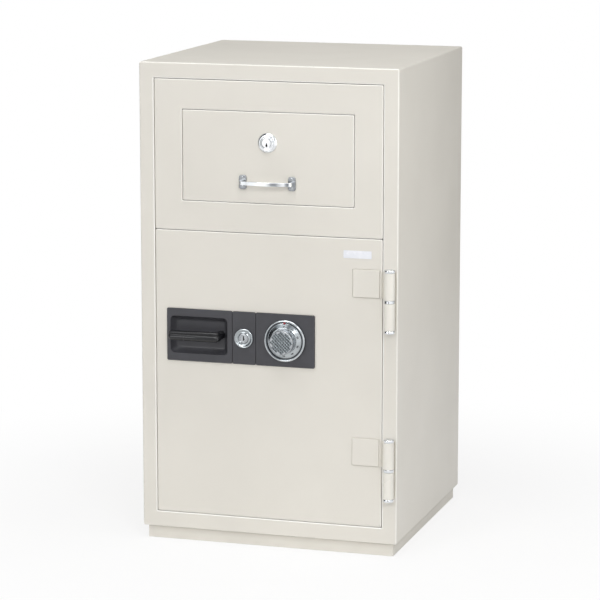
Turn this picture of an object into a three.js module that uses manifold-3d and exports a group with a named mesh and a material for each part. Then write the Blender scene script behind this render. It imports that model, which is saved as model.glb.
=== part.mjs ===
// A drop safe: a fire-resisting steel cabinet with a deposit drawer above and a hinged door below.
// Money put into the drawer falls through a throat in the divider into the safe chamber behind the door.
// Lengths are in millimetres. +X is to the right, +Y to the back and +Z up.
// The origin is the middle of the plinth's underside.

import * as THREE from 'three';
import { mergeVertices } from 'three/addons/utils/BufferGeometryUtils.js';
import Module from 'manifold-3d';

const wasm = await Module();
wasm.setup();

// Gaps and counts that all pieces share
const fit = 0.3;             // left between two pieces that touch
const overrun = 10;          // how far a cutter runs past the face it goes through
const roundSides = 32;       // sides of a large round piece
const rodSides = 20;         // sides of a rod, pin or hole
const arcSteps = 4;          // steps of a corner's arc
const bevelSteps = 2;        // steps of an edge's rounding

// Cabinet body
const bodyWidth = 550;
const bodyDepth = 525;
const bodyHeight = 975;
const bodyCorner = 4;        // radius of the four long edges
const bodyEdge = 3;          // rounding of the front and back edges
const casingSheet = 3;
const plinthHeight = 27;
const plinthInset = 9;
const plinthSheet = 3;

// Front frame
const sideRim = 31;          // casing's rim beside the door and the panel
const topRim = 32;
const bottomRim = 33;
const rebateDepth = 26;      // how far the rim turns back before the liner's flange
const frameLap = 22;         // how far door and panel lap over the frame
const panelReach = 312;      // from the rim's upper edge down to the seam between door and panel
const seamGap = 2;           // open gap round the door and the panel
const seamEdge = 1;          // rounding of the edges along the seams
const panelCorner = 1.5;     // corner radius of door, panel and drawer front
const frontSheet = 3;        // steel of the door's plate, the panel and the drawer front

// Inner liner and divider
const linerSheet = 3;
const linerFlangeLap = 9;    // how far the liner's flange runs on behind the rim
const backWall = 53;         // from the liner's inside to the casing's back
const throatInset = 24;      // from the drawer box's side to the throat's side
const throatSetback = 3.7;   // from the door's back cover to the throat's front edge
const throatOverhang = 9;    // how far the drawer box reaches back over the throat's rear edge
const throatSheet = 2;
const throatFlange = 8;
const throatDrop = 12;       // how far the throat's liner hangs below the divider
const baffleSheet = 2;
const baffleGap = 6;         // from the throat's back edge to the baffle
const baffleFlange = 20;
const baffleDrop = 95;
const baffleLip = 25;

// Deposit drawer
const drawerSideMargin = 60; // from the panel's side edge to the drawer front's
const drawerEndMargin = 61.5; // from the panel's upper or lower edge to the drawer front's
const drawerGap = 1.5;       // open gap round the drawer front
const drawerFrontDepth = 24;
const boxInset = 12;         // from the drawer front's side edge to the box's side
const boxSheet = 2;
const recessInset = 60;      // from the box's side to the opening in the drawer front's inner plate
const boxRise = 10;          // from the drawer front's lower edge to the box's floor
const boxHeight = 115;
const armSpace = 12;         // room for the locking arm behind the drawer front
const boxRearGap = 30.7;     // from the drawer's rear end to the liner's back
const shutterLength = 195;
const shutterUpstand = 20;
const runnerWidth = 8;
const runnerHeight = 12;
const runnerRise = 39;       // from the box's floor to the runner
const railSheet = 3;
const railSlack = 0.5;       // between runner and rail's web
const railInset = 1.2;       // between rail's lips and the box
const railFoot = 25;
const railSetback = 4;       // from the frame to the rail's front end

// Drop flap in the drawer's floor
const flapInset = 30;        // from the box's side to the flap's side
const flapGap = 2;           // between flap and ledges
const flapSheet = 2.5;
const flapPinRadius = 2.5;
const flapKnuckleRadius = 4;
const flapPinSetback = 8;    // from the box's front wall to the pin
const flapPinDrop = 3.5;     // from the box's floor down to the pin
const flapEndGap = 5;        // from the flap's free end to the box's back wall
const flapLug = 8;
const springWire = 1.2;
const springRadius = 3.9;    // from the pin's axis to the wire's centre
const springTurns = 8;
const springStepsPerTurn = 12;
const springSides = 3;       // steps of half the wire's outline
const springHalf = 11;       // half the length of the coil
const springBay = 15;        // half the gap between the flap's two knuckles

// Drawer's bow handle
const handleRise = 42.5;     // above the drawer front's lower edge
const handleSpan = 104.5;    // between the feet's centres
const handleFootWidth = 16;
const handleFootHeight = 29;
const handleFootCorner = 5;
const handleFootSheet = 3;
const handleLeg = 4;         // thickness of the bow's two legs
const handleStrip = 8;       // height of the bow's strip
const handleShoulder = 18;   // reach of the bow's shoulders in front of the drawer
const handleReach = 26;      // reach of the bow's middle
const handleThickness = 3;
const handleSteps = 12;

// Drawer's cylinder lock
const drawerLockDrop = 62;   // from the drawer front's upper edge to the lock
const rosetteRadius = 20.5;
const rosetteRim = 2;        // thickness of the rosette's edge
const rosetteProud = 6.5;
const rosetteFace = 12.5;    // radius where the rosette's slope meets its inner lip
const barrelRadius = 13;
const barrelTail = 1.5;      // how far the key lock's barrel runs on behind the door's pan
const plugRadius = 10;
const plugTail = 5;          // radius of the plug's tail that carries the cam
const keySlotWidth = 2.4;
const keySlotHeight = 11;
const keySlotDepth = 8;
const camSheet = 3;
const camWidth = 12;
const armReach = 72;         // from the lock's centre to the locking arm's tip

// Door
const doorDepth = 24;        // depth of the door's flush slab
const fillingGap = 0.3;
const plugClearance = 12;    // between the door's inner box and the chamber's sides
const plugTopClearance = 4;
const doorPanSheet = 3;
const plugDepth = 75;        // from the door's face to the pan's rear edge
const coverSheet = 3;

// Barrel hinges
const hingeInset = 123;      // from the door's upper and lower edges to the hinges' centres
const hingeFromRim = 16.5;   // from the rim's inner edge to the hinges' axis
const knuckleRadius = 11;
const knuckleLength = 55.5;
const ringHeight = 6;
const capHeight = 6;
const capDome = 1.5;
const pinRadius = 5;
const pinReach = 48;         // how far the pin reaches into the door's knuckle
const pinHeadroom = 2;
const weldHalf = 5;
const leafSheet = 2.5;
const coverPlateSize = 57;
const coverPlateCorner = 1.6;
const coverPlateProud = 2;
const coverPlateRise = 4;    // from the hinge's centre to the cover plate's lower edge
const leafGap = 1;           // between leaf and cover plate
const leafOverDoor = 3.5;    // how far the leaf reaches in over the door's edge

// Label plate
const labelWidth = 59;
const labelHeight = 16;
const labelSheet = 0.9;
const labelFromSide = 51.6;  // from the door's hinge side to the label's centre
const labelFromTop = 32;

// Escutcheon: handle plate, key plate and dial plate
const escutcheonInset = 24;  // from the door's latch side
const escutcheonDrop = 217;  // from the door's upper edge to the escutcheon's centre line
const escutcheonHeight = 110;
const keyPlateWidth = 50;
const dialPlateWidth = 126;
const plateGap = 0.5;
const plateProud = 3;
const plateCorner = 3;
const plateEdge = 0.8;
const cupWidth = 123;
const cupMargin = 9.5;       // from the cup's side to its plate's side
const cupHeight = 77;
const cupCorner = 10;
const cupShift = 1.5;        // how far the cup's centre lies left of its plate's centre
const cupDepth = 17;         // from the plate's face to the cup's bottom
const cupSlope = 8;          // how far the cup's wall draws in on its way down
const cupWall = 2;
const cupSteps = 4;

// Lever handle
const leverFromCup = 19;     // from the cup's right edge to the lever's axis
const leverLength = 103;     // from the axis to the lever's free end
const leverHeel = 8;         // from the axis to the other end
const leverHeight = 22;
const leverThickness = 16;
const leverRounding = 5;
const leverHeelCorner = 6;
const leverClear = 4;        // between the lever's back and the plate
const neckRadius = 9;
const neckRun = 0.5;         // running gap round the neck
const neckTail = 2;          // how far the neck runs on behind the cup
const spindleRadius = 6;
const leverTurn = 45;        // degrees from rest to bolts fully thrown

// Boltwork
const boltThrow = 16;
const boltRadius = 10;
const boltDepth = 50;        // of the bolts' axes behind the door's face
const boltLength = 41;
const boltRun = 0.5;         // running gap in the pan's wall
const boltPocket = 2;        // room round a bolt in the frame
const boltOutset = 1;        // how far a withdrawn bolt stands out of the pan
const boltInset = 83;        // from the pan's upper and lower walls to the outer bolts' axes
const barWidth = 14;
const barThickness = 16;
const barOverhang = 20;
const armSheet = 4;
const armHeight = 25;
const armRise = 9;           // from the lever's axis to the bar arm's lower edge
const armOverhang = 12;      // from the crank pin to the arm's end
const crankSheet = 4;
const crankGap = 1;
const crankHub = 11;
const crankPinRadius = 4;
const crankPinRun = 0.3;
const crankSlotSlack = 2;
const spindleTail = 3;
const fixedBoltReach = 4;    // how far the hinge-side bolts reach behind the frame
const fixedBoltDepth = 52;
const fixedBoltThickness = 14;
const fixedBoltHeight = 40;
const fixedBoltInset = 113;
const fixedBoltPocket = 6;

// Door's key lock
const keyRingRadius = 20.5;
const keyRingProud = 5;
const keyRingWall = 2;
const keyDish = 3.5;         // how deep the ring is dished
const keyCamReach = 26;

// Combination dial and its lock
const bezelRadius = 44;
const bezelWall = 6;
const bezelProud = 7;
const dialRadius = 36.5;
const dialEdge = 3;          // thickness of the dial's marked edge
const dialClear = 1;         // between dial and dial plate
const skirtRadius = 27;      // where the dial's cone ends
const skirtRise = 6.5;
const knobRadius = 24.5;
const knobProud = 18;        // from the cone's end to the knob's face
const knobEdge = 1.5;
const dialSpindleRadius = 4;
const lockCaseHalfWidth = 38;
const lockCaseHalfHeight = 32;
const lockCaseDepth = 44;
const lockCaseSheet = 3;
const wheelRadius = 22;
const wheelSheet = 3;
const wheelPitch = 7;
const wheelHub = 8;
const wheelCount = 3;
const gateWidth = 5;
const gateDepth = 6;
const driveCamSheet = 5;

// Places worked out from the sizes
const halfWidth = bodyWidth / 2;
const bodyTop = plinthHeight + bodyHeight;
const rimHalf = halfWidth - sideRim;
const rimBottom = plinthHeight + bottomRim;
const rimTop = bodyTop - topRim;
const seamZ = rimTop - panelReach;
const frameFront = rebateDepth + fit;
const chamberHalf = rimHalf - frameLap;
const chamberBottom = rimBottom + frameLap;
const chamberTop = rimTop - frameLap;
const chamberBack = bodyDepth - backWall;
const dividerBottom = seamZ - frameLap;
const dividerTop = seamZ + frameLap;

const panelHalf = rimHalf - seamGap;
const panelBottom = seamZ + seamGap / 2;
const panelTop = rimTop - seamGap;
const drawerHalf = panelHalf - drawerSideMargin;
const drawerBottom = panelBottom + drawerEndMargin;
const drawerTop = panelTop - drawerEndMargin;
const drawerLockZ = drawerTop - drawerLockDrop;
const boxFloor = drawerBottom + boxRise;
const boxFront = drawerFrontDepth + armSpace;
const sideEnd = chamberBack - boxRearGap;
const boxBack = sideEnd - shutterLength - fit;
const boxHalf = drawerHalf - boxInset;
const flapHalf = boxHalf - flapInset;
const throatHalf = boxHalf - throatInset;
const throatFront = plugDepth + fit + coverSheet + throatSetback;
const throatEnd = boxBack - throatOverhang;
const runnerBottom = boxFloor + runnerRise;
const flapPinDepth = boxFront + boxSheet + flapPinSetback;
const flapPinZ = boxFloor - flapPinDrop;

const doorBottom = rimBottom + seamGap;
const doorTop = seamZ - seamGap / 2;
const plugHalf = chamberHalf - plugClearance;
const plugBottom = chamberBottom + plugTopClearance;
const plugTop = dividerBottom - plugTopClearance;
const panDepth = doorDepth - doorPanSheet;
const hingeX = rimHalf + hingeFromRim;
const axisProud = knuckleRadius + fit;

const escutcheonZ = doorTop - escutcheonDrop;
const handlePlateWidth = cupWidth + 2 * cupMargin;
const handlePlateX = -panelHalf + escutcheonInset + handlePlateWidth / 2;
const keyX = handlePlateX + handlePlateWidth / 2 + plateGap + keyPlateWidth / 2;
const dialX = keyX + keyPlateWidth / 2 + plateGap + dialPlateWidth / 2;
const cupX = handlePlateX - cupShift;
const leverX = cupX + cupWidth / 2 - leverFromCup;
const crankRadius = boltThrow / 2 / Math.sin(THREE.MathUtils.degToRad(leverTurn / 2));
const crankPinX = boltThrow / 2;
const crankPinZ = Math.sqrt(crankRadius ** 2 - crankPinX ** 2);
const boltTail = -plugHalf - boltOutset + boltLength;
const boltHeights = [plugBottom + boltInset, (plugBottom + plugTop) / 2, plugTop - boltInset];
const fixedBoltHeights = [plugBottom + fixedBoltInset, plugTop - fixedBoltInset];

// Finishes
const paint = { color: 0xe3dfd8, roughness: 0.45, metalness: 0 };
const plinthPaint = { color: 0xcfcac2, roughness: 0.5, metalness: 0 };
const charcoal = { color: 0x47474c, roughness: 0.45, metalness: 0.1 };
const chrome = { color: 0xdcdee0, roughness: 0.12, metalness: 1 };
const steel = { color: 0x9fa3a6, roughness: 0.35, metalness: 1 };
const zinc = { color: 0xb9bdc0, roughness: 0.4, metalness: 0.9 };
const brass = { color: 0xb5995a, roughness: 0.35, metalness: 1 };
const filling = { color: 0xb8b4aa, roughness: 0.95, metalness: 0 };
const label = { color: 0xf4f4f6, roughness: 0.3, metalness: 0 };

// Shapes

const around = (half) => [-half, half];

function block([x0, x1], [y0, y1], [z0, z1]) {
  const geometry = new THREE.BoxGeometry(x1 - x0, y1 - y0, z1 - z0);
  geometry.translate((x0 + x1) / 2, (y0 + y1) / 2, (z0 + z1) / 2);
  return geometry;
}

// A round bar on the X, Y or Z axis, between two places on it
function rod(axis, radius, from, to, sides = rodSides) {
  const geometry = new THREE.CylinderGeometry(radius, radius, to - from, sides);
  geometry.translate(0, (from + to) / 2, 0);
  if (axis === 'x') geometry.rotateZ(-Math.PI / 2);
  if (axis === 'z') geometry.rotateX(Math.PI / 2);
  return geometry;
}

// A solid turned about the Y axis, its radii and depths listed from the back over the outside to the front
function turned(profile, sides = roundSides) {
  const points = profile.map(([radius, depth]) => new THREE.Vector2(radius, depth));
  return new THREE.LatheGeometry(points.reverse(), sides);
}

function outline(points) {
  return new THREE.Shape(points.map(([x, y]) => new THREE.Vector2(x, y)));
}

function roundedRectangle(width, height, radius) {
  const x = width / 2 - radius;
  const y = height / 2 - radius;
  const shape = new THREE.Shape();
  shape.absarc(x, y, radius, 0, Math.PI / 2);
  shape.absarc(-x, y, radius, Math.PI / 2, Math.PI);
  shape.absarc(-x, -y, radius, Math.PI, Math.PI * 1.5);
  shape.absarc(x, -y, radius, Math.PI * 1.5, Math.PI * 2);
  return shape;
}

// An outline drawn in X and Z, made as thick as asked from depth zero to the back, its edges rounded
function slab(shape, thickness, edge = 0, steps = bevelSteps) {
  const geometry = new THREE.ExtrudeGeometry(shape, {
    depth: thickness - 2 * edge,
    curveSegments: arcSteps,
    bevelEnabled: edge > 0,
    bevelThickness: edge,
    bevelSize: edge,
    bevelOffset: -edge,
    bevelSegments: steps,
  });
  geometry.translate(0, 0, edge);
  geometry.rotateX(Math.PI / 2);
  geometry.translate(0, thickness, 0);
  return geometry;
}

// An outline drawn in Y and Z, extruded along X evenly to both sides
function acrossX(shape, length) {
  const geometry = new THREE.ExtrudeGeometry(shape, { depth: length, bevelEnabled: false });
  geometry.translate(0, 0, -length / 2);
  geometry.rotateX(Math.PI / 2);
  geometry.rotateZ(Math.PI / 2);
  return geometry;
}

function moved(geometry, x, y, z) {
  geometry.translate(x, y, z);
  return geometry;
}

// Joining and cutting

function solidOf(geometry) {
  const bare = geometry.clone();
  bare.deleteAttribute('normal');
  bare.deleteAttribute('uv');
  const merged = mergeVertices(bare);
  return new wasm.Manifold(new wasm.Mesh({
    numProp: 3,
    vertProperties: merged.attributes.position.array,
    triVerts: new Uint32Array(merged.index.array),
  }));
}

function geometryOf(solid) {
  const mesh = solid.getMesh();
  const geometry = new THREE.BufferGeometry();
  geometry.setAttribute('position', new THREE.BufferAttribute(mesh.vertProperties, 3));
  geometry.setIndex(new THREE.BufferAttribute(mesh.triVerts, 1));
  geometry.computeVertexNormals();
  return geometry;
}

function join(...pieces) {
  return geometryOf(pieces.map(solidOf).reduce((whole, piece) => whole.add(piece)));
}

function cut(base, ...tools) {
  return geometryOf(tools.map(solidOf).reduce((rest, tool) => rest.subtract(tool), solidOf(base)));
}

function add(group, name, geometry, finish, place = [0, 0, 0]) {
  const mesh = new THREE.Mesh(geometry, new THREE.MeshStandardMaterial(finish));
  mesh.name = name;
  mesh.position.set(...place);
  group.add(mesh);
}

function groupAt(parent, x, y, z) {
  const group = new THREE.Group();
  group.position.set(x, y, z);
  parent.add(group);
  return group;
}

// Groups. In each group of the front, y is the depth behind the cabinet's face
const safe = new THREE.Group();
const cabinet = groupAt(safe, 0, -bodyDepth / 2, 0);
const door = groupAt(safe, 0, -bodyDepth / 2, 0);
const drawer = groupAt(safe, 0, -bodyDepth / 2, 0);

// Cabinet shell

function addPlinth() {
  const half = halfWidth - plinthInset;
  const ends = [plinthInset, bodyDepth - plinthInset];
  const outer = block(around(half), ends, [0, plinthHeight - fit]);
  const inner = block(
    around(half - plinthSheet),
    [ends[0] + plinthSheet, ends[1] - plinthSheet],
    [plinthSheet, plinthHeight + overrun],
  );
  add(cabinet, 'plinth', cut(outer, inner), plinthPaint);
}

function addCasing() {
  const middle = plinthHeight + bodyHeight / 2;
  const shape = roundedRectangle(bodyWidth, bodyHeight, bodyCorner);
  const outer = moved(slab(shape, bodyDepth, bodyEdge), 0, 0, middle);
  const hollow = block(
    around(halfWidth - casingSheet),
    [casingSheet, bodyDepth - casingSheet],
    [plinthHeight + casingSheet, bodyTop - casingSheet],
  );
  const rimReturn = block(
    around(rimHalf + casingSheet),
    [casingSheet / 2, rebateDepth],
    [rimBottom - casingSheet, rimTop + casingSheet],
  );
  const mouth = block(around(rimHalf), [-overrun, rebateDepth + overrun], [rimBottom, rimTop]);
  add(cabinet, 'outer_casing', cut(join(cut(outer, hollow), rimReturn), mouth), paint);
}

// Holes in the liner and pockets in the filling for the bolts on both sides of the door
function framePockets(reach) {
  const boltHole = boltRadius + boltPocket;
  const latchSide = boltHeights.map((z) => (
    moved(rod('x', boltHole, -chamberHalf - reach, -chamberHalf + overrun), 0, boltDepth, z)
  ));
  const depths = [fixedBoltDepth - fixedBoltThickness / 2 - fixedBoltPocket,
    fixedBoltDepth + fixedBoltThickness / 2 + fixedBoltPocket];
  const halfHeight = fixedBoltHeight / 2 + boltPocket;
  const hingeSide = fixedBoltHeights.map((z) => (
    block([chamberHalf - overrun, chamberHalf + reach], depths, [z - halfHeight, z + halfHeight])
  ));
  return [...latchSide, ...hingeSide];
}

function addLiner() {
  const flangeHalf = rimHalf + linerFlangeLap;
  const flange = block(
    around(flangeHalf),
    [frameFront, frameFront + linerSheet],
    [rimBottom - linerFlangeLap, rimTop + linerFlangeLap],
  );
  const box = block(
    around(chamberHalf + linerSheet),
    [frameFront, chamberBack + linerSheet],
    [chamberBottom - linerSheet, chamberTop + linerSheet],
  );
  const chamber = block(around(chamberHalf), [-overrun, chamberBack], [chamberBottom, chamberTop]);
  const pockets = framePockets(linerSheet + overrun);
  add(cabinet, 'inner_liner', cut(join(flange, box), chamber, ...pockets), paint);
}

function addFilling() {
  const outer = block(
    around(halfWidth - casingSheet - fit),
    [casingSheet + fit, bodyDepth - casingSheet - fit],
    [plinthHeight + casingSheet + fit, bodyTop - casingSheet - fit],
  );
  const linerSpace = block(
    around(chamberHalf + linerSheet + fit),
    [-overrun, chamberBack + linerSheet + fit],
    [chamberBottom - linerSheet - fit, chamberTop + linerSheet + fit],
  );
  const flangeLap = Math.max(linerFlangeLap, casingSheet) + fit;
  const rimSpace = block(
    around(rimHalf + flangeLap),
    [-overrun, frameFront + linerSheet + fit],
    [rimBottom - flangeLap, rimTop + flangeLap],
  );
  const pockets = framePockets(boltThrow + boltPocket - plugClearance + linerSheet);
  add(cabinet, 'fire_filling', cut(outer, linerSpace, rimSpace, ...pockets), filling);
}

// Divider between the drawer's chamber and the safe chamber, with its throat

function addDivider() {
  const slabBlock = block(
    around(chamberHalf - fit),
    [frameFront, chamberBack - fit],
    [dividerBottom, dividerTop],
  );
  const throat = block(
    around(throatHalf),
    [throatFront, throatEnd],
    [dividerBottom - overrun, dividerTop + overrun],
  );
  add(cabinet, 'divider', cut(slabBlock, throat), paint);

  const flangeZ = [dividerTop + fit, dividerTop + fit + throatSheet];
  const flange = block(
    around(throatHalf + throatFlange),
    [throatFront - throatFlange, throatEnd + throatFlange],
    flangeZ,
  );
  const sleeve = block(
    around(throatHalf - fit),
    [throatFront + fit, throatEnd - fit],
    [dividerBottom - throatDrop, flangeZ[1]],
  );
  const bore = block(
    around(throatHalf - fit - throatSheet),
    [throatFront + fit + throatSheet, throatEnd - fit - throatSheet],
    [dividerBottom - throatDrop - overrun, flangeZ[1] + overrun],
  );
  add(cabinet, 'throat_liner', cut(join(flange, sleeve), bore), zinc);

  const y = throatEnd + baffleGap;
  const top = dividerBottom - fit;
  const low = top - baffleDrop;
  const profile = outline([
    [y, top],
    [y + baffleFlange, top],
    [y + baffleFlange, top - baffleSheet],
    [y + baffleSheet, top - baffleSheet],
    [y + baffleSheet, low],
    [y + baffleSheet - baffleLip, low - baffleLip],
    [y - baffleLip, low - baffleLip],
    [y, low],
  ]);
  add(cabinet, 'anti_fishing_baffle', acrossX(profile, 2 * throatHalf), zinc);
}

// Fixed panel round the drawer

function addUpperPanel() {
  const shape = roundedRectangle(2 * panelHalf, panelTop - panelBottom, panelCorner);
  const outer = moved(slab(shape, rebateDepth, seamEdge), 0, 0, (panelTop + panelBottom) / 2);
  const hollow = block(
    around(panelHalf - frontSheet),
    [frontSheet, rebateDepth + overrun],
    [panelBottom + frontSheet, panelTop - frontSheet],
  );
  const openingHalf = drawerHalf + drawerGap;
  const collar = block(
    around(openingHalf + frontSheet),
    [frontSheet / 2, rebateDepth],
    [drawerBottom - drawerGap - frontSheet, drawerTop + drawerGap + frontSheet],
  );
  const opening = block(
    around(openingHalf),
    [-overrun, rebateDepth + overrun],
    [drawerBottom - drawerGap, drawerTop + drawerGap],
  );
  add(cabinet, 'upper_front_panel', cut(join(cut(outer, hollow), collar), opening), paint);
}

// Rails that carry the drawer's runners

function addRail(name, side) {
  const lip = boxHalf + railInset;
  const web = boxHalf + fit + runnerWidth + railSlack;
  const foot = dividerTop + fit;
  const low = runnerBottom - fit;
  const high = runnerBottom + runnerHeight + fit;
  const profile = outline([
    [lip, low - railSheet],
    [web, low - railSheet],
    [web, foot],
    [web + railSheet + railFoot, foot],
    [web + railSheet + railFoot, foot + railSheet],
    [web + railSheet, foot + railSheet],
    [web + railSheet, high + railSheet],
    [lip, high + railSheet],
    [lip, high],
    [web, high],
    [web, low],
    [lip, low],
  ].map(([x, z]) => [side * x, z]));
  const front = frameFront + railSetback;
  add(cabinet, name, moved(slab(profile, sideEnd - front), 0, front, 0), zinc);
}

// Hinges: in a hinge's group the axis is the Z axis, and z is zero at its middle

function hingePlaces() {
  return [
    ['upper', doorTop - hingeInset],
    ['lower', doorBottom + hingeInset],
  ];
}

function hingeCap(bottom) {
  const cap = turned([
    [0, capHeight],
    [knuckleRadius - capDome, capHeight],
    [knuckleRadius, capHeight - capDome],
    [knuckleRadius, capDome],
    [knuckleRadius - capDome, 0],
    [0, 0],
  ]);
  cap.rotateX(Math.PI / 2);
  return moved(cap, 0, 0, bottom);
}

function addHingeFrameSide(name, centre) {
  const hinge = groupAt(cabinet, hingeX, -axisProud, centre);
  const top = -ringHeight / 2 - fit;
  const bottom = top - knuckleLength;
  const body = rod('z', knuckleRadius, bottom, top, roundSides);
  const weld = block(around(weldHalf), [knuckleRadius - leafSheet, axisProud - fit], [bottom, top]);
  const bore = rod('z', pinRadius + fit, bottom - overrun, top + overrun);
  add(hinge, `${name}_hinge_frame_knuckle`, cut(join(body, weld), bore), paint);

  const capBottom = bottom - fit - capHeight;
  const pin = rod('z', pinRadius, capBottom + capHeight / 2, ringHeight / 2 + pinReach);
  add(hinge, `${name}_hinge_pin`, join(hingeCap(capBottom), pin), chrome);

  const ring = rod('z', knuckleRadius, -ringHeight / 2, ringHeight / 2, roundSides);
  const ringBore = rod('z', pinRadius + fit, -ringHeight, ringHeight);
  add(hinge, `${name}_hinge_ring`, cut(ring, ringBore), chrome);
}

function addHingeDoorSide(name, centre) {
  const hinge = groupAt(door, hingeX, -axisProud, centre);
  const bottom = ringHeight / 2 + fit;
  const top = bottom + knuckleLength;
  const body = rod('z', knuckleRadius, bottom, top, roundSides);
  const leafEnd = -(hingeX - panelHalf) - leafOverDoor;
  const leaf = block([leafEnd, 0], [axisProud - fit - leafSheet, axisProud - fit], [bottom, top]);
  const bore = rod('z', pinRadius + fit, bottom - overrun, ringHeight / 2 + pinReach + pinHeadroom);
  add(hinge, `${name}_hinge_door_knuckle`, cut(join(body, leaf), bore), paint);

  add(hinge, `${name}_hinge_top_cap`, hingeCap(top + fit), chrome);

  const plate = slab(
    roundedRectangle(coverPlateSize, coverPlateSize, coverPlateCorner),
    coverPlateProud,
    plateEdge,
  );
  const place = [
    leafEnd - leafGap - coverPlateSize / 2,
    axisProud - fit - coverPlateProud,
    coverPlateRise + coverPlateSize / 2,
  ];
  add(hinge, `${name}_hinge_cover_plate`, plate, paint, place);
}

// Door slab, its filling, the pan behind it and the cover over the boltwork

function doorHoles(slack) {
  const cup = block(
    [cupX - cupWidth / 2 - cupWall - slack, cupX + cupWidth / 2 + cupWall + slack],
    [-overrun, cupDepth - plateProud + cupWall + slack],
    [escutcheonZ - cupHeight / 2 - cupWall - slack, escutcheonZ + cupHeight / 2 + cupWall + slack],
  );
  const through = (radius, to, x) => moved(rod('y', radius + slack, -overrun, to), x, 0, escutcheonZ);
  const lever = through(neckRadius + neckRun, panDepth, leverX);
  const key = through(barrelRadius, doorDepth + overrun, keyX);
  const dial = through(dialSpindleRadius, doorDepth + overrun, dialX);
  return [cup, lever, key, dial];
}

function addDoorSlab() {
  const shape = roundedRectangle(2 * panelHalf, doorTop - doorBottom, panelCorner);
  const outer = moved(slab(shape, doorDepth, seamEdge), 0, 0, (doorTop + doorBottom) / 2);
  const hollow = block(
    around(panelHalf - frontSheet),
    [frontSheet, doorDepth + overrun],
    [doorBottom + frontSheet, doorTop - frontSheet],
  );
  add(door, 'door_front_plate', cut(outer, hollow, ...doorHoles(fit)), paint);

  const inside = block(
    around(panelHalf - frontSheet - fillingGap),
    [frontSheet + fillingGap, panDepth - fillingGap],
    [doorBottom + frontSheet + fillingGap, doorTop - frontSheet - fillingGap],
  );
  add(door, 'door_filling', cut(inside, ...doorHoles(fit + fillingGap)), filling);
}

function addDoorPan() {
  const base = block(
    around(panelHalf - frontSheet - fit),
    [panDepth, doorDepth],
    [doorBottom + frontSheet + fit, doorTop - frontSheet - fit],
  );
  const walls = block(around(plugHalf), [panDepth, plugDepth], [plugBottom, plugTop]);
  const inside = block(
    around(plugHalf - doorPanSheet),
    [doorDepth, plugDepth + overrun],
    [plugBottom + doorPanSheet, plugTop - doorPanSheet],
  );
  const boltHoles = boltHeights.map((z) => (
    moved(rod('x', boltRadius + boltRun, -plugHalf - overrun, -plugHalf + overrun), 0, boltDepth, z)
  ));
  const spindles = [[spindleRadius, leverX], [barrelRadius, keyX], [dialSpindleRadius, dialX]];
  const frontHoles = spindles.map(([radius, x]) => (
    moved(rod('y', radius + fit, 0, doorDepth + overrun), x, 0, escutcheonZ)
  ));
  add(door, 'door_pan', cut(join(base, walls), inside, ...boltHoles, ...frontHoles), steel);

  const coverFront = plugDepth + fit;
  const cover = block(around(plugHalf), [coverFront, coverFront + coverSheet], [plugBottom, plugTop]);
  add(door, 'door_back_cover', cover, paint);
}

function addFixedBolts() {
  const depths = [fixedBoltDepth - fixedBoltThickness / 2, fixedBoltDepth + fixedBoltThickness / 2];
  fixedBoltHeights.forEach((z, index) => {
    const bolt = block(
      [plugHalf + fit, chamberHalf + fixedBoltReach],
      depths,
      [z - fixedBoltHeight / 2, z + fixedBoltHeight / 2],
    );
    add(door, `${['lower', 'upper'][index]}_fixed_bolt`, bolt, steel);
  });
}

function addLabel() {
  const plate = slab(roundedRectangle(labelWidth, labelHeight, labelSheet), labelSheet - fit);
  add(door, 'label_plate', plate, label, [panelHalf - labelFromSide, -labelSheet, doorTop - labelFromTop]);
}

// Escutcheon

function escutcheonPlate(width) {
  return slab(roundedRectangle(width, escutcheonHeight, plateCorner), plateProud - fit, plateEdge);
}

// The cup's space or, with its wall's thickness added, its outside: straight in front and bowl-shaped behind
function cupSolid(grow) {
  const shape = roundedRectangle(cupWidth + 2 * grow, cupHeight + 2 * grow, cupCorner + grow);
  const geometry = new THREE.ExtrudeGeometry(shape, {
    depth: overrun,
    curveSegments: arcSteps,
    bevelEnabled: true,
    bevelThickness: cupDepth + grow,
    bevelSize: cupSlope,
    bevelOffset: -cupSlope,
    bevelSegments: cupSteps,
  });
  geometry.translate(0, 0, -overrun);
  geometry.rotateX(Math.PI / 2);
  geometry.scale(1, -1, -1);
  return geometry;
}

function addHandlePlate() {
  const frame = groupAt(door, handlePlateX, -plateProud, escutcheonZ);
  const plate = escutcheonPlate(handlePlateWidth);
  const frontHalf = block(around(handlePlateWidth), [-bodyDepth, 0], around(handlePlateWidth));
  const shell = cut(moved(cupSolid(cupWall), -cupShift, 0, 0), frontHalf);
  const space = moved(cupSolid(0), -cupShift, 0, 0);
  const neckBore = rod('y', neckRadius + neckRun, 0, cupDepth + overrun);
  const neckHole = moved(neckBore, leverX - handlePlateX, 0, 0);
  add(frame, 'handle_plate', cut(join(plate, shell), space, neckHole), charcoal);
}

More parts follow.
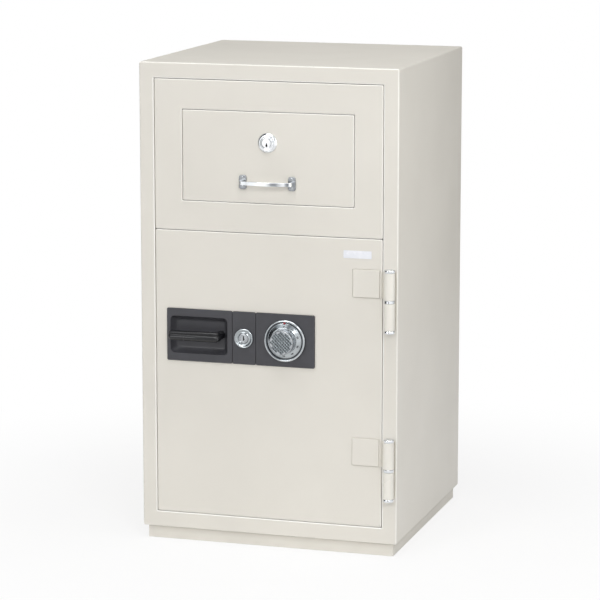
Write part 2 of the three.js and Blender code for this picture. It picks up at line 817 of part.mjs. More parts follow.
function addLever() {
  const lever = groupAt(door, leverX, 0, escutcheonZ);
  const low = -leverHeight / 2;
  const shape = new THREE.Shape();
  shape.moveTo(-leverLength + leverHeight / 2, low);
  shape.absarc(leverHeel - leverHeelCorner, low + leverHeelCorner, leverHeelCorner, -Math.PI / 2, 0);
  shape.absarc(leverHeel - leverHeelCorner, -low - leverHeelCorner, leverHeelCorner, 0, Math.PI / 2);
  shape.absarc(-leverLength + leverHeight / 2, 0, leverHeight / 2, Math.PI / 2, Math.PI * 1.5);
  const back = -plateProud - leverClear;
  const bar = moved(slab(shape, leverThickness, leverRounding), 0, back - leverThickness, 0);
  const neckEnd = cupDepth - plateProud + cupWall + neckTail;
  const neck = rod('y', neckRadius, back - leverRounding, neckEnd);
  add(lever, 'lever_handle', join(bar, neck), charcoal);

  const crankFront = boltDepth + armSheet / 2 + crankGap;
  const crankBack = crankFront + crankSheet;
  add(lever, 'lever_spindle', rod('y', spindleRadius, neckEnd + fit, crankBack + spindleTail), steel);

  const tip = crankPinRadius + crankGap;
  const web = slab(outline([
    [-crankHub, 0],
    [crankHub, 0],
    [crankPinX + tip, crankPinZ],
    [crankPinX, crankPinZ + tip],
    [crankPinX - tip, crankPinZ],
  ]), crankSheet);
  const crank = join(
    rod('y', crankHub, crankFront, crankBack),
    moved(web, 0, crankFront, 0),
    moved(rod('y', crankPinRadius, boltDepth - armSheet / 2, crankBack), crankPinX, 0, crankPinZ),
  );
  add(lever, 'lever_crank', cut(crank, rod('y', spindleRadius + fit, 0, crankBack + overrun)), steel);
}

// Boltwork

function addBoltwork() {
  const barLeft = boltTail + fit;
  const strip = block(
    [barLeft, barLeft + barWidth],
    [boltDepth - barThickness / 2, boltDepth + barThickness / 2],
    [boltHeights[0] - barOverhang, boltHeights[2] + barOverhang],
  );
  const pinX = leverX + crankPinX;
  const armBottom = escutcheonZ + armRise;
  const arm = block(
    [barLeft, pinX + armOverhang],
    [boltDepth - armSheet / 2, boltDepth + armSheet / 2],
    [armBottom, armBottom + armHeight],
  );
  const slotHalf = crankPinRadius + crankPinRun;
  const slot = block(
    [pinX - slotHalf, pinX + slotHalf],
    [0, plugDepth],
    [escutcheonZ + crankPinZ - crankPinRadius - crankSlotSlack,
      escutcheonZ + crankRadius + crankPinRadius + crankSlotSlack],
  );
  add(door, 'bolt_bar', cut(join(strip, arm), slot), steel);
  boltHeights.forEach((z, index) => {
    const bolt = rod('x', boltRadius, boltTail - boltLength, boltTail);
    add(door, `${['lower', 'middle', 'upper'][index]}_bolt`, bolt, chrome, [0, boltDepth, z]);
  });
}

// Cylinder locks: in a lock's group the axis is the Y axis, and y is zero at the face it sits on

function lockPlug(front, back) {
  const plug = rod('y', plugRadius, front, back);
  const tail = rod('y', plugTail, back - overrun, back + fit + camSheet + fit);
  const slot = block(
    around(keySlotWidth / 2),
    [front - overrun, front + keySlotDepth],
    around(keySlotHeight / 2),
  );
  return cut(join(plug, tail), slot);
}

function lockCam(back, reach) {
  const blade = block([0, reach], [back + fit, back + fit + camSheet], around(camWidth / 2));
  const hub = rod('y', camWidth / 2 + fit, back + fit, back + fit + camSheet);
  const bore = rod('y', plugTail + fit, back - overrun, back + overrun);
  return cut(join(blade, hub), bore);
}

function addKeyLock() {
  const plateFace = -plateProud;
  const plate = escutcheonPlate(keyPlateWidth);
  const barrelHole = rod('y', barrelRadius + fit, -overrun, overrun);
  add(door, 'key_plate', cut(plate, barrelHole), charcoal, [keyX, plateFace, escutcheonZ]);

  const lock = groupAt(door, keyX, plateFace, escutcheonZ);
  const barrelEnd = plateProud + doorDepth + barrelTail;
  const bore = plugRadius + fit;
  const housing = turned([
    [bore, barrelEnd],
    [barrelRadius, barrelEnd],
    [barrelRadius, -fit],
    [keyRingRadius, -fit],
    [keyRingRadius, -keyRingProud + keyRingWall],
    [keyRingRadius - keyRingWall, -keyRingProud],
    [barrelRadius, -keyRingProud + keyDish],
    [bore, -keyRingProud + keyDish],
    [bore, barrelEnd],
  ]);
  add(lock, 'key_lock_cylinder', housing, chrome);
  add(lock, 'key_plug', lockPlug(-keyRingProud + keyRingWall, barrelEnd), chrome);
  add(lock, 'key_cam', lockCam(barrelEnd, keyCamReach), zinc);
}

function addDrawerLock() {
  const lock = groupAt(drawer, 0, 0, drawerLockZ);
  const bore = plugRadius + fit;
  const barrelEnd = rebateDepth + fit;
  const housing = turned([
    [bore, barrelEnd],
    [barrelRadius, barrelEnd],
    [barrelRadius, -fit],
    [rosetteRadius, -fit],
    [rosetteRadius, -rosetteRim],
    [rosetteFace, -rosetteProud],
    [bore, -rosetteProud],
    [bore, barrelEnd],
  ]);
  add(lock, 'drawer_lock_cylinder', housing, chrome);
  add(lock, 'drawer_key_plug', lockPlug(-rosetteProud, barrelEnd), chrome);
  add(lock, 'drawer_lock_arm', lockCam(barrelEnd, armReach), zinc);
}

// Combination dial

function addDial() {
  const plateFace = -plateProud;
  const spindleHole = rod('y', dialSpindleRadius + fit, -overrun, overrun);
  const plate = cut(escutcheonPlate(dialPlateWidth), spindleHole);
  add(door, 'dial_plate', plate, charcoal, [dialX, plateFace, escutcheonZ]);

  const frame = groupAt(door, dialX, plateFace, escutcheonZ);
  const bezelBore = bezelRadius - bezelWall;
  add(frame, 'dial_bezel', turned([
    [bezelBore, -fit],
    [bezelRadius, -fit],
    [bezelRadius, -bezelProud / 2],
    [bezelRadius - bezelWall / 3, -bezelProud],
    [bezelBore + bezelWall / 3, -bezelProud],
    [bezelBore, -bezelProud / 2],
    [bezelBore, -fit],
  ]), chrome);

  const edgeFront = -dialClear - dialEdge;
  const skirtFront = edgeFront - skirtRise;
  const knobFront = skirtFront - knobProud;
  add(frame, 'dial_knob', turned([
    [0, -dialClear],
    [dialRadius, -dialClear],
    [dialRadius, edgeFront],
    [skirtRadius, skirtFront],
    [knobRadius, skirtFront],
    [knobRadius, knobFront + knobEdge],
    [knobRadius - knobEdge, knobFront],
    [0, knobFront],
  ]), chrome);

  const caseFront = plateProud + doorDepth + fit;
  const caseBack = caseFront + lockCaseDepth;
  const camBack = caseBack - lockCaseSheet - wheelSheet;
  add(frame, 'dial_spindle', rod('y', dialSpindleRadius, -dialClear + fit, camBack), steel);

  const outer = block(around(lockCaseHalfWidth), [caseFront, caseBack], around(lockCaseHalfHeight));
  const inner = block(
    around(lockCaseHalfWidth - lockCaseSheet),
    [caseFront - overrun, caseBack - lockCaseSheet],
    around(lockCaseHalfHeight - lockCaseSheet),
  );
  add(frame, 'combination_lock_case', cut(outer, inner), zinc);

  const bore = rod('y', dialSpindleRadius + fit, 0, caseBack);
  const camFront = camBack - driveCamSheet;
  const gate = (from, to) => (
    block(around(gateWidth / 2), [from, to], [wheelRadius - gateDepth, wheelRadius + overrun])
  );
  const disc = rod('y', wheelRadius, camFront, camBack);
  add(frame, 'drive_cam', cut(disc, bore, gate(camFront - overrun, camBack + overrun)), brass);

  const packBack = camFront - fit;
  const packFront = packBack - wheelCount * wheelPitch;
  const wheels = Array.from({ length: wheelCount }, (_, n) => {
    const front = packFront + n * wheelPitch;
    return rod('y', wheelRadius, front, front + wheelSheet);
  });
  const hub = rod('y', wheelHub, packFront, packBack);
  const pack = cut(join(hub, ...wheels), bore, gate(packFront - overrun, packBack + fit / 2));
  add(frame, 'combination_wheels', pack, brass);
}

// Deposit drawer

function addDrawerFront() {
  const shape = roundedRectangle(2 * drawerHalf, drawerTop - drawerBottom, panelCorner);
  const outer = moved(slab(shape, drawerFrontDepth, seamEdge), 0, 0, (drawerTop + drawerBottom) / 2);
  const hollow = block(
    around(drawerHalf - frontSheet),
    [frontSheet, drawerFrontDepth + overrun],
    [drawerBottom + frontSheet, drawerTop - frontSheet],
  );
  const bridge = block(
    around(drawerHalf - frontSheet / 2),
    [drawerFrontDepth - frontSheet, drawerFrontDepth],
    [drawerBottom + frontSheet / 2, drawerTop - frontSheet / 2],
  );
  const recess = block(
    around(boxHalf - recessInset),
    [frontSheet, drawerFrontDepth + overrun],
    [drawerBottom + frontSheet + boxRise, drawerLockZ - drawerLockDrop / 2],
  );
  const lockBore = rod('y', barrelRadius + fit, -overrun, drawerFrontDepth + overrun);
  const lockHole = moved(lockBore, 0, 0, drawerLockZ);
  add(drawer, 'drawer_front', cut(join(cut(outer, hollow), bridge), recess, lockHole), paint);
}

function addDrawerBox() {
  const floorTop = boxFloor + boxSheet;
  const top = boxFloor + boxHeight;
  const inner = boxHalf - boxSheet;
  const side = (sign) => block(
    [sign * boxHalf, sign * inner].sort((a, b) => a - b),
    [drawerFrontDepth + fit, sideEnd],
    [boxFloor, top],
  );
  const wall = (from) => block(around(boxHalf - boxSheet / 2), [from, from + boxSheet], [boxFloor, top]);
  const ledgeEdge = flapHalf + flapGap;
  const ledge = (sign) => block(
    [sign * ledgeEdge, sign * (boxHalf - boxSheet / 2)].sort((a, b) => a - b),
    [boxFront + boxSheet / 2, boxBack - boxSheet / 2],
    [boxFloor, floorTop],
  );
  const lug = (sign) => block(
    [sign * ledgeEdge, sign * (ledgeEdge + flapLug)].sort((a, b) => a - b),
    [flapPinDepth - flapKnuckleRadius, flapPinDepth + flapKnuckleRadius],
    [flapPinZ - flapKnuckleRadius, floorTop - boxSheet / 2],
  );
  const lugEnd = ledgeEdge + flapLug + boxSheet;
  const pinHole = moved(rod('x', flapPinRadius + fit, -lugEnd, lugEnd), 0, flapPinDepth, flapPinZ);
  const walls = join(side(-1), side(1), wall(boxFront), wall(boxBack - boxSheet));
  const body = join(walls, ledge(-1), ledge(1), lug(-1), lug(1));
  add(drawer, 'drawer_box', cut(body, pinHole), zinc);
}

function addShutter() {
  const half = boxHalf - boxSheet - fit;
  const front = boxBack + fit;
  const plate = block(around(half), [front, sideEnd], [boxFloor, boxFloor + boxSheet]);
  const upstand = block(around(half), [front, front + boxSheet], [boxFloor, boxFloor + shutterUpstand]);
  add(drawer, 'throat_shutter', join(plate, upstand), zinc);
}

function addRunner(name, side) {
  const inner = boxHalf + fit;
  const across = [side * inner, side * (inner + runnerWidth)].sort((a, b) => a - b);
  const runner = block(across, [frameFront, sideEnd], [runnerBottom, runnerBottom + runnerHeight]);
  add(drawer, name, runner, steel);
}

function addBowHandle() {
  const handle = groupAt(drawer, 0, -fit, drawerBottom + handleRise);
  const legOut = handleSpan / 2 + handleLeg / 2;
  const legIn = legOut - handleLeg;
  // The bow's edge: a parabola from one shoulder over the middle to the other
  const edge = (half, shoulder, reach) => Array.from({ length: handleSteps + 1 }, (_, n) => {
    const share = 2 * n / handleSteps - 1;
    return [share * half, -(reach - (reach - shoulder) * share ** 2)];
  });
  const bow = new THREE.ExtrudeGeometry(outline([
    [-legOut, -handleFootSheet / 2],
    ...edge(legOut, handleShoulder, handleReach),
    [legOut, -handleFootSheet / 2],
    [legIn, -handleFootSheet / 2],
    ...edge(legIn, handleShoulder - handleThickness, handleReach - handleThickness).reverse(),
    [-legIn, -handleFootSheet / 2],
  ]), { depth: handleStrip, bevelEnabled: false });
  bow.translate(0, 0, -handleStrip / 2);
  const foot = (sign) => moved(
    slab(roundedRectangle(handleFootWidth, handleFootHeight, handleFootCorner), handleFootSheet, plateEdge),
    sign * handleSpan / 2,
    -handleFootSheet,
    0,
  );
  add(handle, 'bow_handle', join(bow, foot(-1), foot(1)), chrome);
}

// Drop flap

function addFlap() {
  const flap = groupAt(drawer, 0, flapPinDepth, flapPinZ);
  const under = flapPinDrop - flapSheet / 2;
  const end = boxBack - boxSheet - flapEndGap - flapPinDepth;
  const plate = block(around(flapHalf), [0, end], [under, under + flapSheet]);
  const knuckle = rod('x', flapKnuckleRadius, -flapHalf, flapHalf);
  const bore = rod('x', flapPinRadius + fit, -flapHalf - overrun, flapHalf + overrun);
  const bay = block(
    around(springBay),
    around(springRadius + springWire + fit),
    around(flapKnuckleRadius + overrun),
  );
  add(flap, 'drop_flap', cut(join(plate, knuckle), bore, bay), zinc);

  const pinHalf = flapHalf + flapGap + flapLug;
  add(flap, 'flap_pin', rod('x', flapPinRadius, -pinHalf, pinHalf), steel);

  // The coil's centre line turns round the pin and ends straight along it
  const points = [];
  const steps = springTurns * springStepsPerTurn;
  for (let n = 0; n <= steps; n += 1) {
    const angle = 2 * Math.PI * n / springStepsPerTurn;
    const x = springHalf * (2 * n / steps - 1);
    points.push(new THREE.Vector3(x, springRadius * Math.cos(angle), springRadius * Math.sin(angle)));
  }
  const wire = new THREE.Shape().absarc(0, 0, springWire / 2, 0, Math.PI * 2);
  const coil = new THREE.ExtrudeGeometry(wire, {
    steps,
    curveSegments: springSides,
    extrudePath: new THREE.CatmullRomCurve3(points),
    bevelEnabled: false,
  });
  add(flap, 'flap_spring', coil, steel);
}

addPlinth();
addCasing();
addLiner();
addFilling();
addDivider();
addUpperPanel();
addRail('left_drawer_rail', -1);
addRail('right_drawer_rail', 1);
hingePlaces().forEach(([name, centre]) => {
  addHingeFrameSide(name, centre);
  addHingeDoorSide(name, centre);
});
addDoorSlab();
addDoorPan();
addFixedBolts();
addLabel();
addHandlePlate();
addLever();
addBoltwork();
addKeyLock();
addDial();
addDrawerFront();
addDrawerBox();
addShutter();
addRunner('left_drawer_runner', -1);
addRunner('right_drawer_runner', 1);
addBowHandle();
addDrawerLock();
addFlap();

export default safe;
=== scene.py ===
import math
import bpy
import bmesh
from mathutils import Matrix, Vector


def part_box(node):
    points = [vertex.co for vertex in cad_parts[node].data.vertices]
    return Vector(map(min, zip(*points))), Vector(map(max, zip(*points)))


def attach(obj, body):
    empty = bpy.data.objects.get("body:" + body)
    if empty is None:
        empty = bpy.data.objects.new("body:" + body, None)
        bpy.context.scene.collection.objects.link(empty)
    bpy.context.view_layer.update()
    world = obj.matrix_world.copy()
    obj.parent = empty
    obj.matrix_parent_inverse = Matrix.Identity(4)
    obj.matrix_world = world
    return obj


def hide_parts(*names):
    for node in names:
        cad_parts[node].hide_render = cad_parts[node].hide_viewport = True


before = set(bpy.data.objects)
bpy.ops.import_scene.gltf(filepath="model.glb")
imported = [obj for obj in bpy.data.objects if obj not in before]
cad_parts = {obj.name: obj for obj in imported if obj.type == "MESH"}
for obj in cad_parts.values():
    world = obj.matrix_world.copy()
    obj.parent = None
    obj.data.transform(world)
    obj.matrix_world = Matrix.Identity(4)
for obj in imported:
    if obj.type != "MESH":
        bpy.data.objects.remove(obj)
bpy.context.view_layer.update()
scene = bpy.context.scene
mm = 0.001


# Colours are written as sRGB codes, and nodes take them linear
def linear(code):
    channels = [int(code[i:i + 2], 16) / 255 for i in (1, 3, 5)]
    curved = [c / 12.92 if c <= 0.04045 else ((c + 0.055) / 1.055) ** 2.4 for c in channels]
    return (*curved, 1.0)


# An input takes a value, a socket, or a node, which stands for its first output
def setInputs(tree, node, inputs):
    for key, value in inputs.items():
        if isinstance(value, bpy.types.Node):
            value = value.outputs[0]
        if isinstance(value, bpy.types.NodeSocket):
            tree.links.new(value, node.inputs[key])
        else:
            node.inputs[key].default_value = value


def addNode(tree, kind, settings=None, inputs=None):
    node = tree.nodes.new(kind)
    for key, value in (settings or {}).items():
        setattr(node, key, value)
    setInputs(tree, node, inputs or {})
    return node


def setStops(ramp, stops):
    elements = ramp.color_ramp.elements
    for element, (position, code) in zip((elements[0], elements[1]), (stops[0], stops[-1])):
        element.position, element.color = position, linear(code)
    for position, code in stops[1:-1]:
        elements.new(position).color = linear(code)
    return ramp


# Patterns: colour in patches, roughness in patches, and fine bumps, each of a real size

def mottled(tree, point, size, colours):
    noise = addNode(tree, "ShaderNodeTexNoise", inputs={"Vector": point, "Scale": 1 / size, "Detail": 3.0})
    ramp = addNode(tree, "ShaderNodeValToRGB", inputs={"Fac": noise})
    return setStops(ramp, [(0.35, colours[0]), (0.65, colours[1])])


def ranged(tree, point, size, low, high):
    noise = addNode(tree, "ShaderNodeTexNoise", inputs={"Vector": point, "Scale": 1 / size, "Detail": 3.0})
    return addNode(tree, "ShaderNodeMapRange", inputs={
        "Value": noise, "From Min": 0.3, "From Max": 0.7, "To Min": low, "To Max": high})


def grained(tree, point, size, height, stretch, detail):
    if stretch:
        point = addNode(tree, "ShaderNodeMapping", inputs={"Vector": point, "Scale": stretch})
    noise = addNode(tree, "ShaderNodeTexNoise", inputs={
        "Vector": point, "Scale": 1 / size, "Detail": detail})
    return addNode(tree, "ShaderNodeBump", inputs={"Height": noise, "Strength": 1.0, "Distance": height})


# A kind of finish gives what is the same all over, and the sizes of its patches of colour, its patches
# of sheen and its grain. A material adds its two colours, its roughness, and what differs in it.
def surface(name, kind, colours, rough=None, **own):
    facts = {**kind, **own}
    material = bpy.data.materials.new(name)
    material.use_nodes = True
    tree = material.node_tree
    point = addNode(tree, "ShaderNodeTexCoord").outputs["Object"]
    inputs = {**facts["same"], "Base Color": mottled(tree, point, facts["patch"], colours)}
    if rough:
        inputs["Roughness"] = ranged(tree, point, facts["sheen"], *rough)
    if "grain" in facts:
        inputs["Normal"] = grained(tree, point, facts["grain"], facts["height"],
                                   facts.get("stretch"), facts.get("detail", 2.0))
    setInputs(tree, tree.nodes["Principled BSDF"], inputs)
    return material


# Stoved enamel, sprayed: a satin sheen over the faint orange peel of paint, with bumps 2.6 mm across
stovedEnamel = {"same": {"Specular IOR Level": 0.5}, "patch": 260 * mm, "sheen": 90 * mm,
                "grain": 2.6 * mm, "height": 0.012 * mm}
offWhite = ("#e1ddd4", "#e5e1d8")
bodyEnamel = surface("off_white_enamel", stovedEnamel, offWhite, (0.4, 0.48))  # casing: hardly mirrors
frontEnamel = surface("off_white_enamel_front", stovedEnamel, offWhite, (0.29, 0.37))  # fronts: soft gleam
# Hinge barrels: the same enamel painted paler, a painted highlight for the light the round barrels catch, and
# glossier
barrelHighlightEnamel = surface("off_white_enamel_barrel_painted_light", stovedEnamel, ("#e9e5dc", "#edeae1"), (0.26, 0.33))
# One thin coat inside: greyer and dull
linerEnamel = surface("liner_enamel", stovedEnamel, ("#d3cfc8", "#dcd8d1"), (0.5, 0.62))
# Painted highlights: paler, glossier enamel for the rounded edges that face the light, drawn as a bright line
edgeHighlightEnamel = surface("off_white_enamel_painted_edge_highlight", stovedEnamel, ("#f3f0e9", "#f7f4ed"), (0.22, 0.29))
seamHighlightEnamel = surface("off_white_enamel_painted_seam_highlight", stovedEnamel, ("#fcfaf5", "#fefcf8"), (0.2, 0.27))


# Plinth enamel: the same paint, dull, with painted shade on its top, darker where the casing's overhang shades
# it
def plinthMaterial():
    facts = {"shaded": 14 * mm, "shade": "#a59f96", "most": 0.32}
    kind = {"same": {"Specular IOR Level": 0.35}, "patch": 120 * mm, "sheen": 40 * mm,
            "grain": 2.4 * mm, "height": 0.014 * mm}
    material = surface("plinth_enamel", kind, ("#e4e0d7", "#e9e5dc"), (0.5, 0.65))
    tree = material.node_tree
    colour = tree.nodes["Principled BSDF"].inputs["Base Color"]
    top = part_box("plinth")[1].z
    point = addNode(tree, "ShaderNodeTexCoord").outputs["Object"]
    place = addNode(tree, "ShaderNodeSeparateXYZ", inputs={"Vector": point})
    # Painted shade: the colour darkens over the top 14 mm, under the casing's overhang
    share = addNode(tree, "ShaderNodeMapRange", inputs={
        "Value": place.outputs["Z"], "From Min": top - facts["shaded"], "From Max": top,
        "To Min": 0.0, "To Max": facts["most"]})
    mix = addNode(tree, "ShaderNodeMix", {"data_type": "RGBA"}, {
        0: share, 6: colour.links[0].from_socket, 7: linear(facts["shade"])})
    tree.links.new(mix.outputs[2], colour)
    return material


plinthEnamel = plinthMaterial()

# Charcoal enamel, sprayed over the steel of the escutcheon: a fine texture of 0.7 mm breaks up its sheen
charcoalEnamel = {"same": {"Specular IOR Level": 0.5}, "patch": 34 * mm, "sheen": 14 * mm,
                  "grain": 0.7 * mm, "height": 0.012 * mm}
plateEnamel = surface("charcoal_enamel", charcoalEnamel, ("#3b3b3f", "#404045"), (0.38, 0.44))
# The lever's is nearly black and rubbed smooth, with sharper highlights along its ridges
leverEnamel = surface("lever_enamel", charcoalEnamel, ("#141417", "#1a1a1d"), (0.22, 0.28),
                      height=0.002 * mm, same={"Specular IOR Level": 0.46})
# Painted shade on the plates' cut sides: dull near black, for the dark line of shade round each plate
plateSideShade = surface("plate_side_painted_shade", charcoalEnamel, ("#151517", "#1c1c1f"), (0.45, 0.55),
                    height=0.006 * mm)

# Chrome plate, polished: a mirror with hazy patches and hairlines. Real hairlines are about 0.05 mm
# apart. They are drawn 0.5 mm apart, so that they soften the reflections.
chromePlate = {"same": {"Metallic": 1.0}, "patch": 22 * mm, "sheen": 9 * mm,
               "grain": 0.5 * mm, "height": 0.0015 * mm}
# Bright chrome of the hinges and bolts: a clear mirror
brightChrome = surface("bright_chrome", chromePlate, ("#d9dbde", "#e8eaec"), (0.05, 0.12))
# Handled chrome of the bow and the drawer's lock: bright, but its reflections have soft borders
softChrome = surface("soft_chrome", chromePlate, ("#dfe1e4", "#eef0f1"), (0.12, 0.2))
# Satin chrome of the dial's grip, the plug and the screws: grey, with broad highlights
satinChrome = surface("satin_chrome", chromePlate, ("#a6a9ad", "#b4b7ba"), (0.2, 0.3), height=0.003 * mm)
# Stamped feet of the bow: duller and darker than the strip
footChrome = surface("foot_chrome", chromePlate, ("#8b8e92", "#9a9da0"), (0.22, 0.32), height=0.003 * mm)
# Knurled face: dark, partly from dirt between its points and partly painted shade there; only their flanks
# glint
knurledChrome = surface("knurled_chrome", chromePlate, ("#5e6467", "#6c7275"), (0.24, 0.32),
                        height=0.002 * mm)
# Satin silver of the dial's flange and the key lock's ring: softer and greyer than chrome
satinSilver = surface("satin_silver", chromePlate, ("#a3a8ab", "#b3b8bb"), (0.15, 0.24), height=0.002 * mm)
# Polished steel of the dial's bezel: darker than chrome, with clear reflections
polishedSteel = surface("polished_steel", chromePlate, ("#aeb2b5", "#bec2c5"), (0.12, 0.2))

# Bare metal of the inner pieces, turned, rolled or brushed: marks run one way and highlights across
# them. Real marks are about 0.1 mm apart. They are drawn 1 mm apart and stretched, so that they show.
brushedMetal = {"same": {"Metallic": 1.0}, "patch": 30 * mm, "sheen": 12 * mm,
                "grain": 1 * mm, "height": 0.01 * mm}
turnedSteel = surface("turned_steel", brushedMetal, ("#93979a", "#a5a9ac"), (0.26, 0.38),
                      stretch=(0.1, 2, 2))
zincPlate = surface("zinc_plate", brushedMetal, ("#a9adb0", "#bfc3c6"), (0.36, 0.5), stretch=(1, 0.15, 1))
brassWheel = surface("brass", brushedMetal, ("#a98b4c", "#bd9f60"), (0.28, 0.4), stretch=(1, 3, 1))

# Mineral filling, poured: chalky, with pits about 4 mm across
pouredMineral = {"same": {"Roughness": 0.95}, "patch": 9 * mm, "grain": 4 * mm, "height": 0.6 * mm,
                 "detail": 6.0}
mineralFilling = surface("mineral_filling", pouredMineral, ("#a8a49a", "#bfbbb1"))

# Label foil, glossy and blank: a little bluer than the paint
foil = {"same": {"Specular IOR Level": 0.5}, "patch": 18 * mm, "sheen": 8 * mm}
labelFoil = surface("label_foil", foil, ("#eceef4", "#f4f5fa"), (0.2, 0.3))

# Printing paint of the dial's figures and its index: thin and matte. A near-black one is painted shade inside
# a keyway
printing = {"same": {"Specular IOR Level": 0.4}, "patch": 3 * mm, "sheen": 2 * mm}
blackPaint = surface("black_figures", printing, ("#16171a", "#202226"), (0.4, 0.55))
redPaint = surface("red_index", printing, ("#9c1420", "#b01a26"), (0.4, 0.55))
# Painted shade: the cut faces inside the keyways are near black
keywayShade = surface("keyway_shadow", printing, ("#08080a", "#101013"), (0.4, 0.55))
print("materials made")


# Outlines: closed loops of points seen from the front, each at one depth

def roundRect(x0, x1, z0, z1, radius, y, steps=4):
    corners = [(x1 - radius, z1 - radius, 0), (x0 + radius, z1 - radius, 90),
               (x0 + radius, z0 + radius, 180), (x1 - radius, z0 + radius, 270)]
    points = []
    for cx, cz, start in corners:
        for n in range(steps + 1):
            angle = math.radians(start + 90 * n / steps)
            points.append(Vector((cx + radius * math.cos(angle), y, cz + radius * math.sin(angle))))
    return points


# The outline of a box, drawn in on all sides
def outline(low, high, y, radius, inset=0.0, steps=4):
    return roundRect(low.x + inset, high.x - inset, low.z + inset, high.z - inset, radius, y, steps)


# A circle round an axis along Y, or round an upright one
def circle(centre, radius, place, count, upright=False):
    turns = [2 * math.pi * n / count for n in range(count)]
    across = [(radius * math.cos(a), radius * math.sin(a)) for a in turns]
    if upright:
        return [Vector((centre.x + u, centre.y + v, place)) for u, v in across]
    return [Vector((centre.x + u, place, centre.z + v)) for u, v in across]


# The rounding of an edge, as shares of its radius: first how far in, then how far back
def rounding(steps=4):
    turns = [math.pi / 2 * n / steps for n in range(steps + 1)]
    return [(1 - math.sin(a), 1 - math.cos(a)) for a in turns]


# Loops over a box's rounded front edge, from its face back to its sides. A front may grow a little past
# the box's sides, where it fills its opening more than its CAD solid does.
def edgeLoops(low, high, corner, edge, grow=0.0, steps=4):
    tightest = 0.3 * mm
    loops = []
    for inwards, back in rounding():
        inset = edge * inwards
        radius = max(corner - inset, tightest)
        loops.append(outline(low, high, low.y + edge * back, radius, inset - grow, steps))
    return loops


def plateLoops(low, high, corner, edge, grow=0.0):
    return edgeLoops(low, high, corner, edge, grow) + [outline(low, high, high.y, corner, -grow)]


# Steps of a turned shape in mm, as how far in from its edge and how far behind its face
def relief(radius, face, steps):
    return [(radius - inwards * mm, face + back * mm) for inwards, back in steps]


# Meshes

def finished(name, mesh, material, angle=30):
    mesh.materials.append(material)
    mesh.validate()
    for face in mesh.polygons:
        face.use_smooth = True
    mesh.set_sharp_from_angle(angle=math.radians(angle))
    piece = bpy.data.objects.new(name, mesh)
    scene.collection.objects.link(piece)
    return piece


# A skin over a row of loops, closed by a cap at both ends, or back onto its first loop
def loft(name, loops, material, caps=True, angle=30):
    bm = bmesh.new()
    rings = [[bm.verts.new(p) for p in loop] for loop in loops]
    count = len(rings[0])
    pairs = list(zip(rings, rings[1:]))
    if not caps:
        pairs.append((rings[-1], rings[0]))
    for a, b in pairs:
        for n in range(count):
            m = (n + 1) % count
            bm.faces.new((a[n], a[m], b[m], b[n]))
    if caps:
        bm.faces.new(rings[0])
        bm.faces.new(rings[-1])
    bmesh.ops.remove_doubles(bm, verts=bm.verts, dist=0.01 * mm)
    bmesh.ops.recalc_face_normals(bm, faces=bm.faces)
    mesh = bpy.data.meshes.new(name)
    bm.to_mesh(mesh)
    bm.free()
    return finished(name, mesh, material, angle)


# A turned piece from its radii and places along the axis. A pole is a tiny ring, and its points merge.
def turned(name, centre, profile, material, count=96, caps=True, angle=30, upright=False):
    pole = 0.02 * mm
    loops = [circle(centre, max(radius, pole), place, count, upright) for radius, place in profile]
    return loft(name, loops, material, caps, angle)


# A bar along Y from its sides (X0, X1, Z0, Z1), its corners' radius and its two depths
def bar(name, sides, radius, depths, material):
    return loft(name, [roundRect(*sides, radius, y) for y in depths], material)


def drill(centre, radius, depths, material):
    return turned("cutter", centre, [(radius, y) for y in depths], material, count=48)


def cutOut(piece, cutters):
    for cutter in cutters:
        modifier = piece.modifiers.new("cut", "BOOLEAN")
        modifier.operation = "DIFFERENCE"
        modifier.solver = "EXACT"
        modifier.material_mode = "TRANSFER"
        modifier.object = cutter
    mesh = bpy.data.meshes.new_from_object(piece.evaluated_get(bpy.context.evaluated_depsgraph_get()))
    piece.modifiers.clear()
    piece.data = mesh
    for cutter in cutters:
        bpy.data.objects.remove(cutter)
    mesh.set_sharp_from_angle(angle=math.radians(30))


def weighted(piece):
    piece.modifiers.new("even_normals", "WEIGHTED_NORMAL").keep_sharp = True
    return piece


def boxOf(node):
    low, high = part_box(node)
    return low, high, (low + high) / 2


# Paints highlights on the rounded edges that face the light, in paler enamel: outer along the border,
# the seam's inside it. The left border looks away from the main light and keeps its own paint.
def paintEdgeHighlights(piece, low, high, outer):
    facts = {"near": 4 * mm, "flat": -0.97, "side": -0.15, "away": 0.1}
    near = facts["near"]
    mesh = piece.data
    slots = len(mesh.materials)
    mesh.materials.append(outer)
    mesh.materials.append(seamHighlightEnamel)
    for polygon in mesh.polygons:
        normal, place = polygon.normal, polygon.center
        rounded = facts["flat"] < normal.y < facts["side"] and place.y < low.y + near
        lit = normal.x > -facts["away"] or normal.z > facts["away"] or place.x > low.x + near
        if rounded and lit:
            inside = low.x + near < place.x < high.x - near and low.z + near < place.z < high.z - near
            polygon.material_index = slots + 1 if inside else slots


# Cabinet's casing: one bent sheet with rounded edges, its front rim turned back round the opening

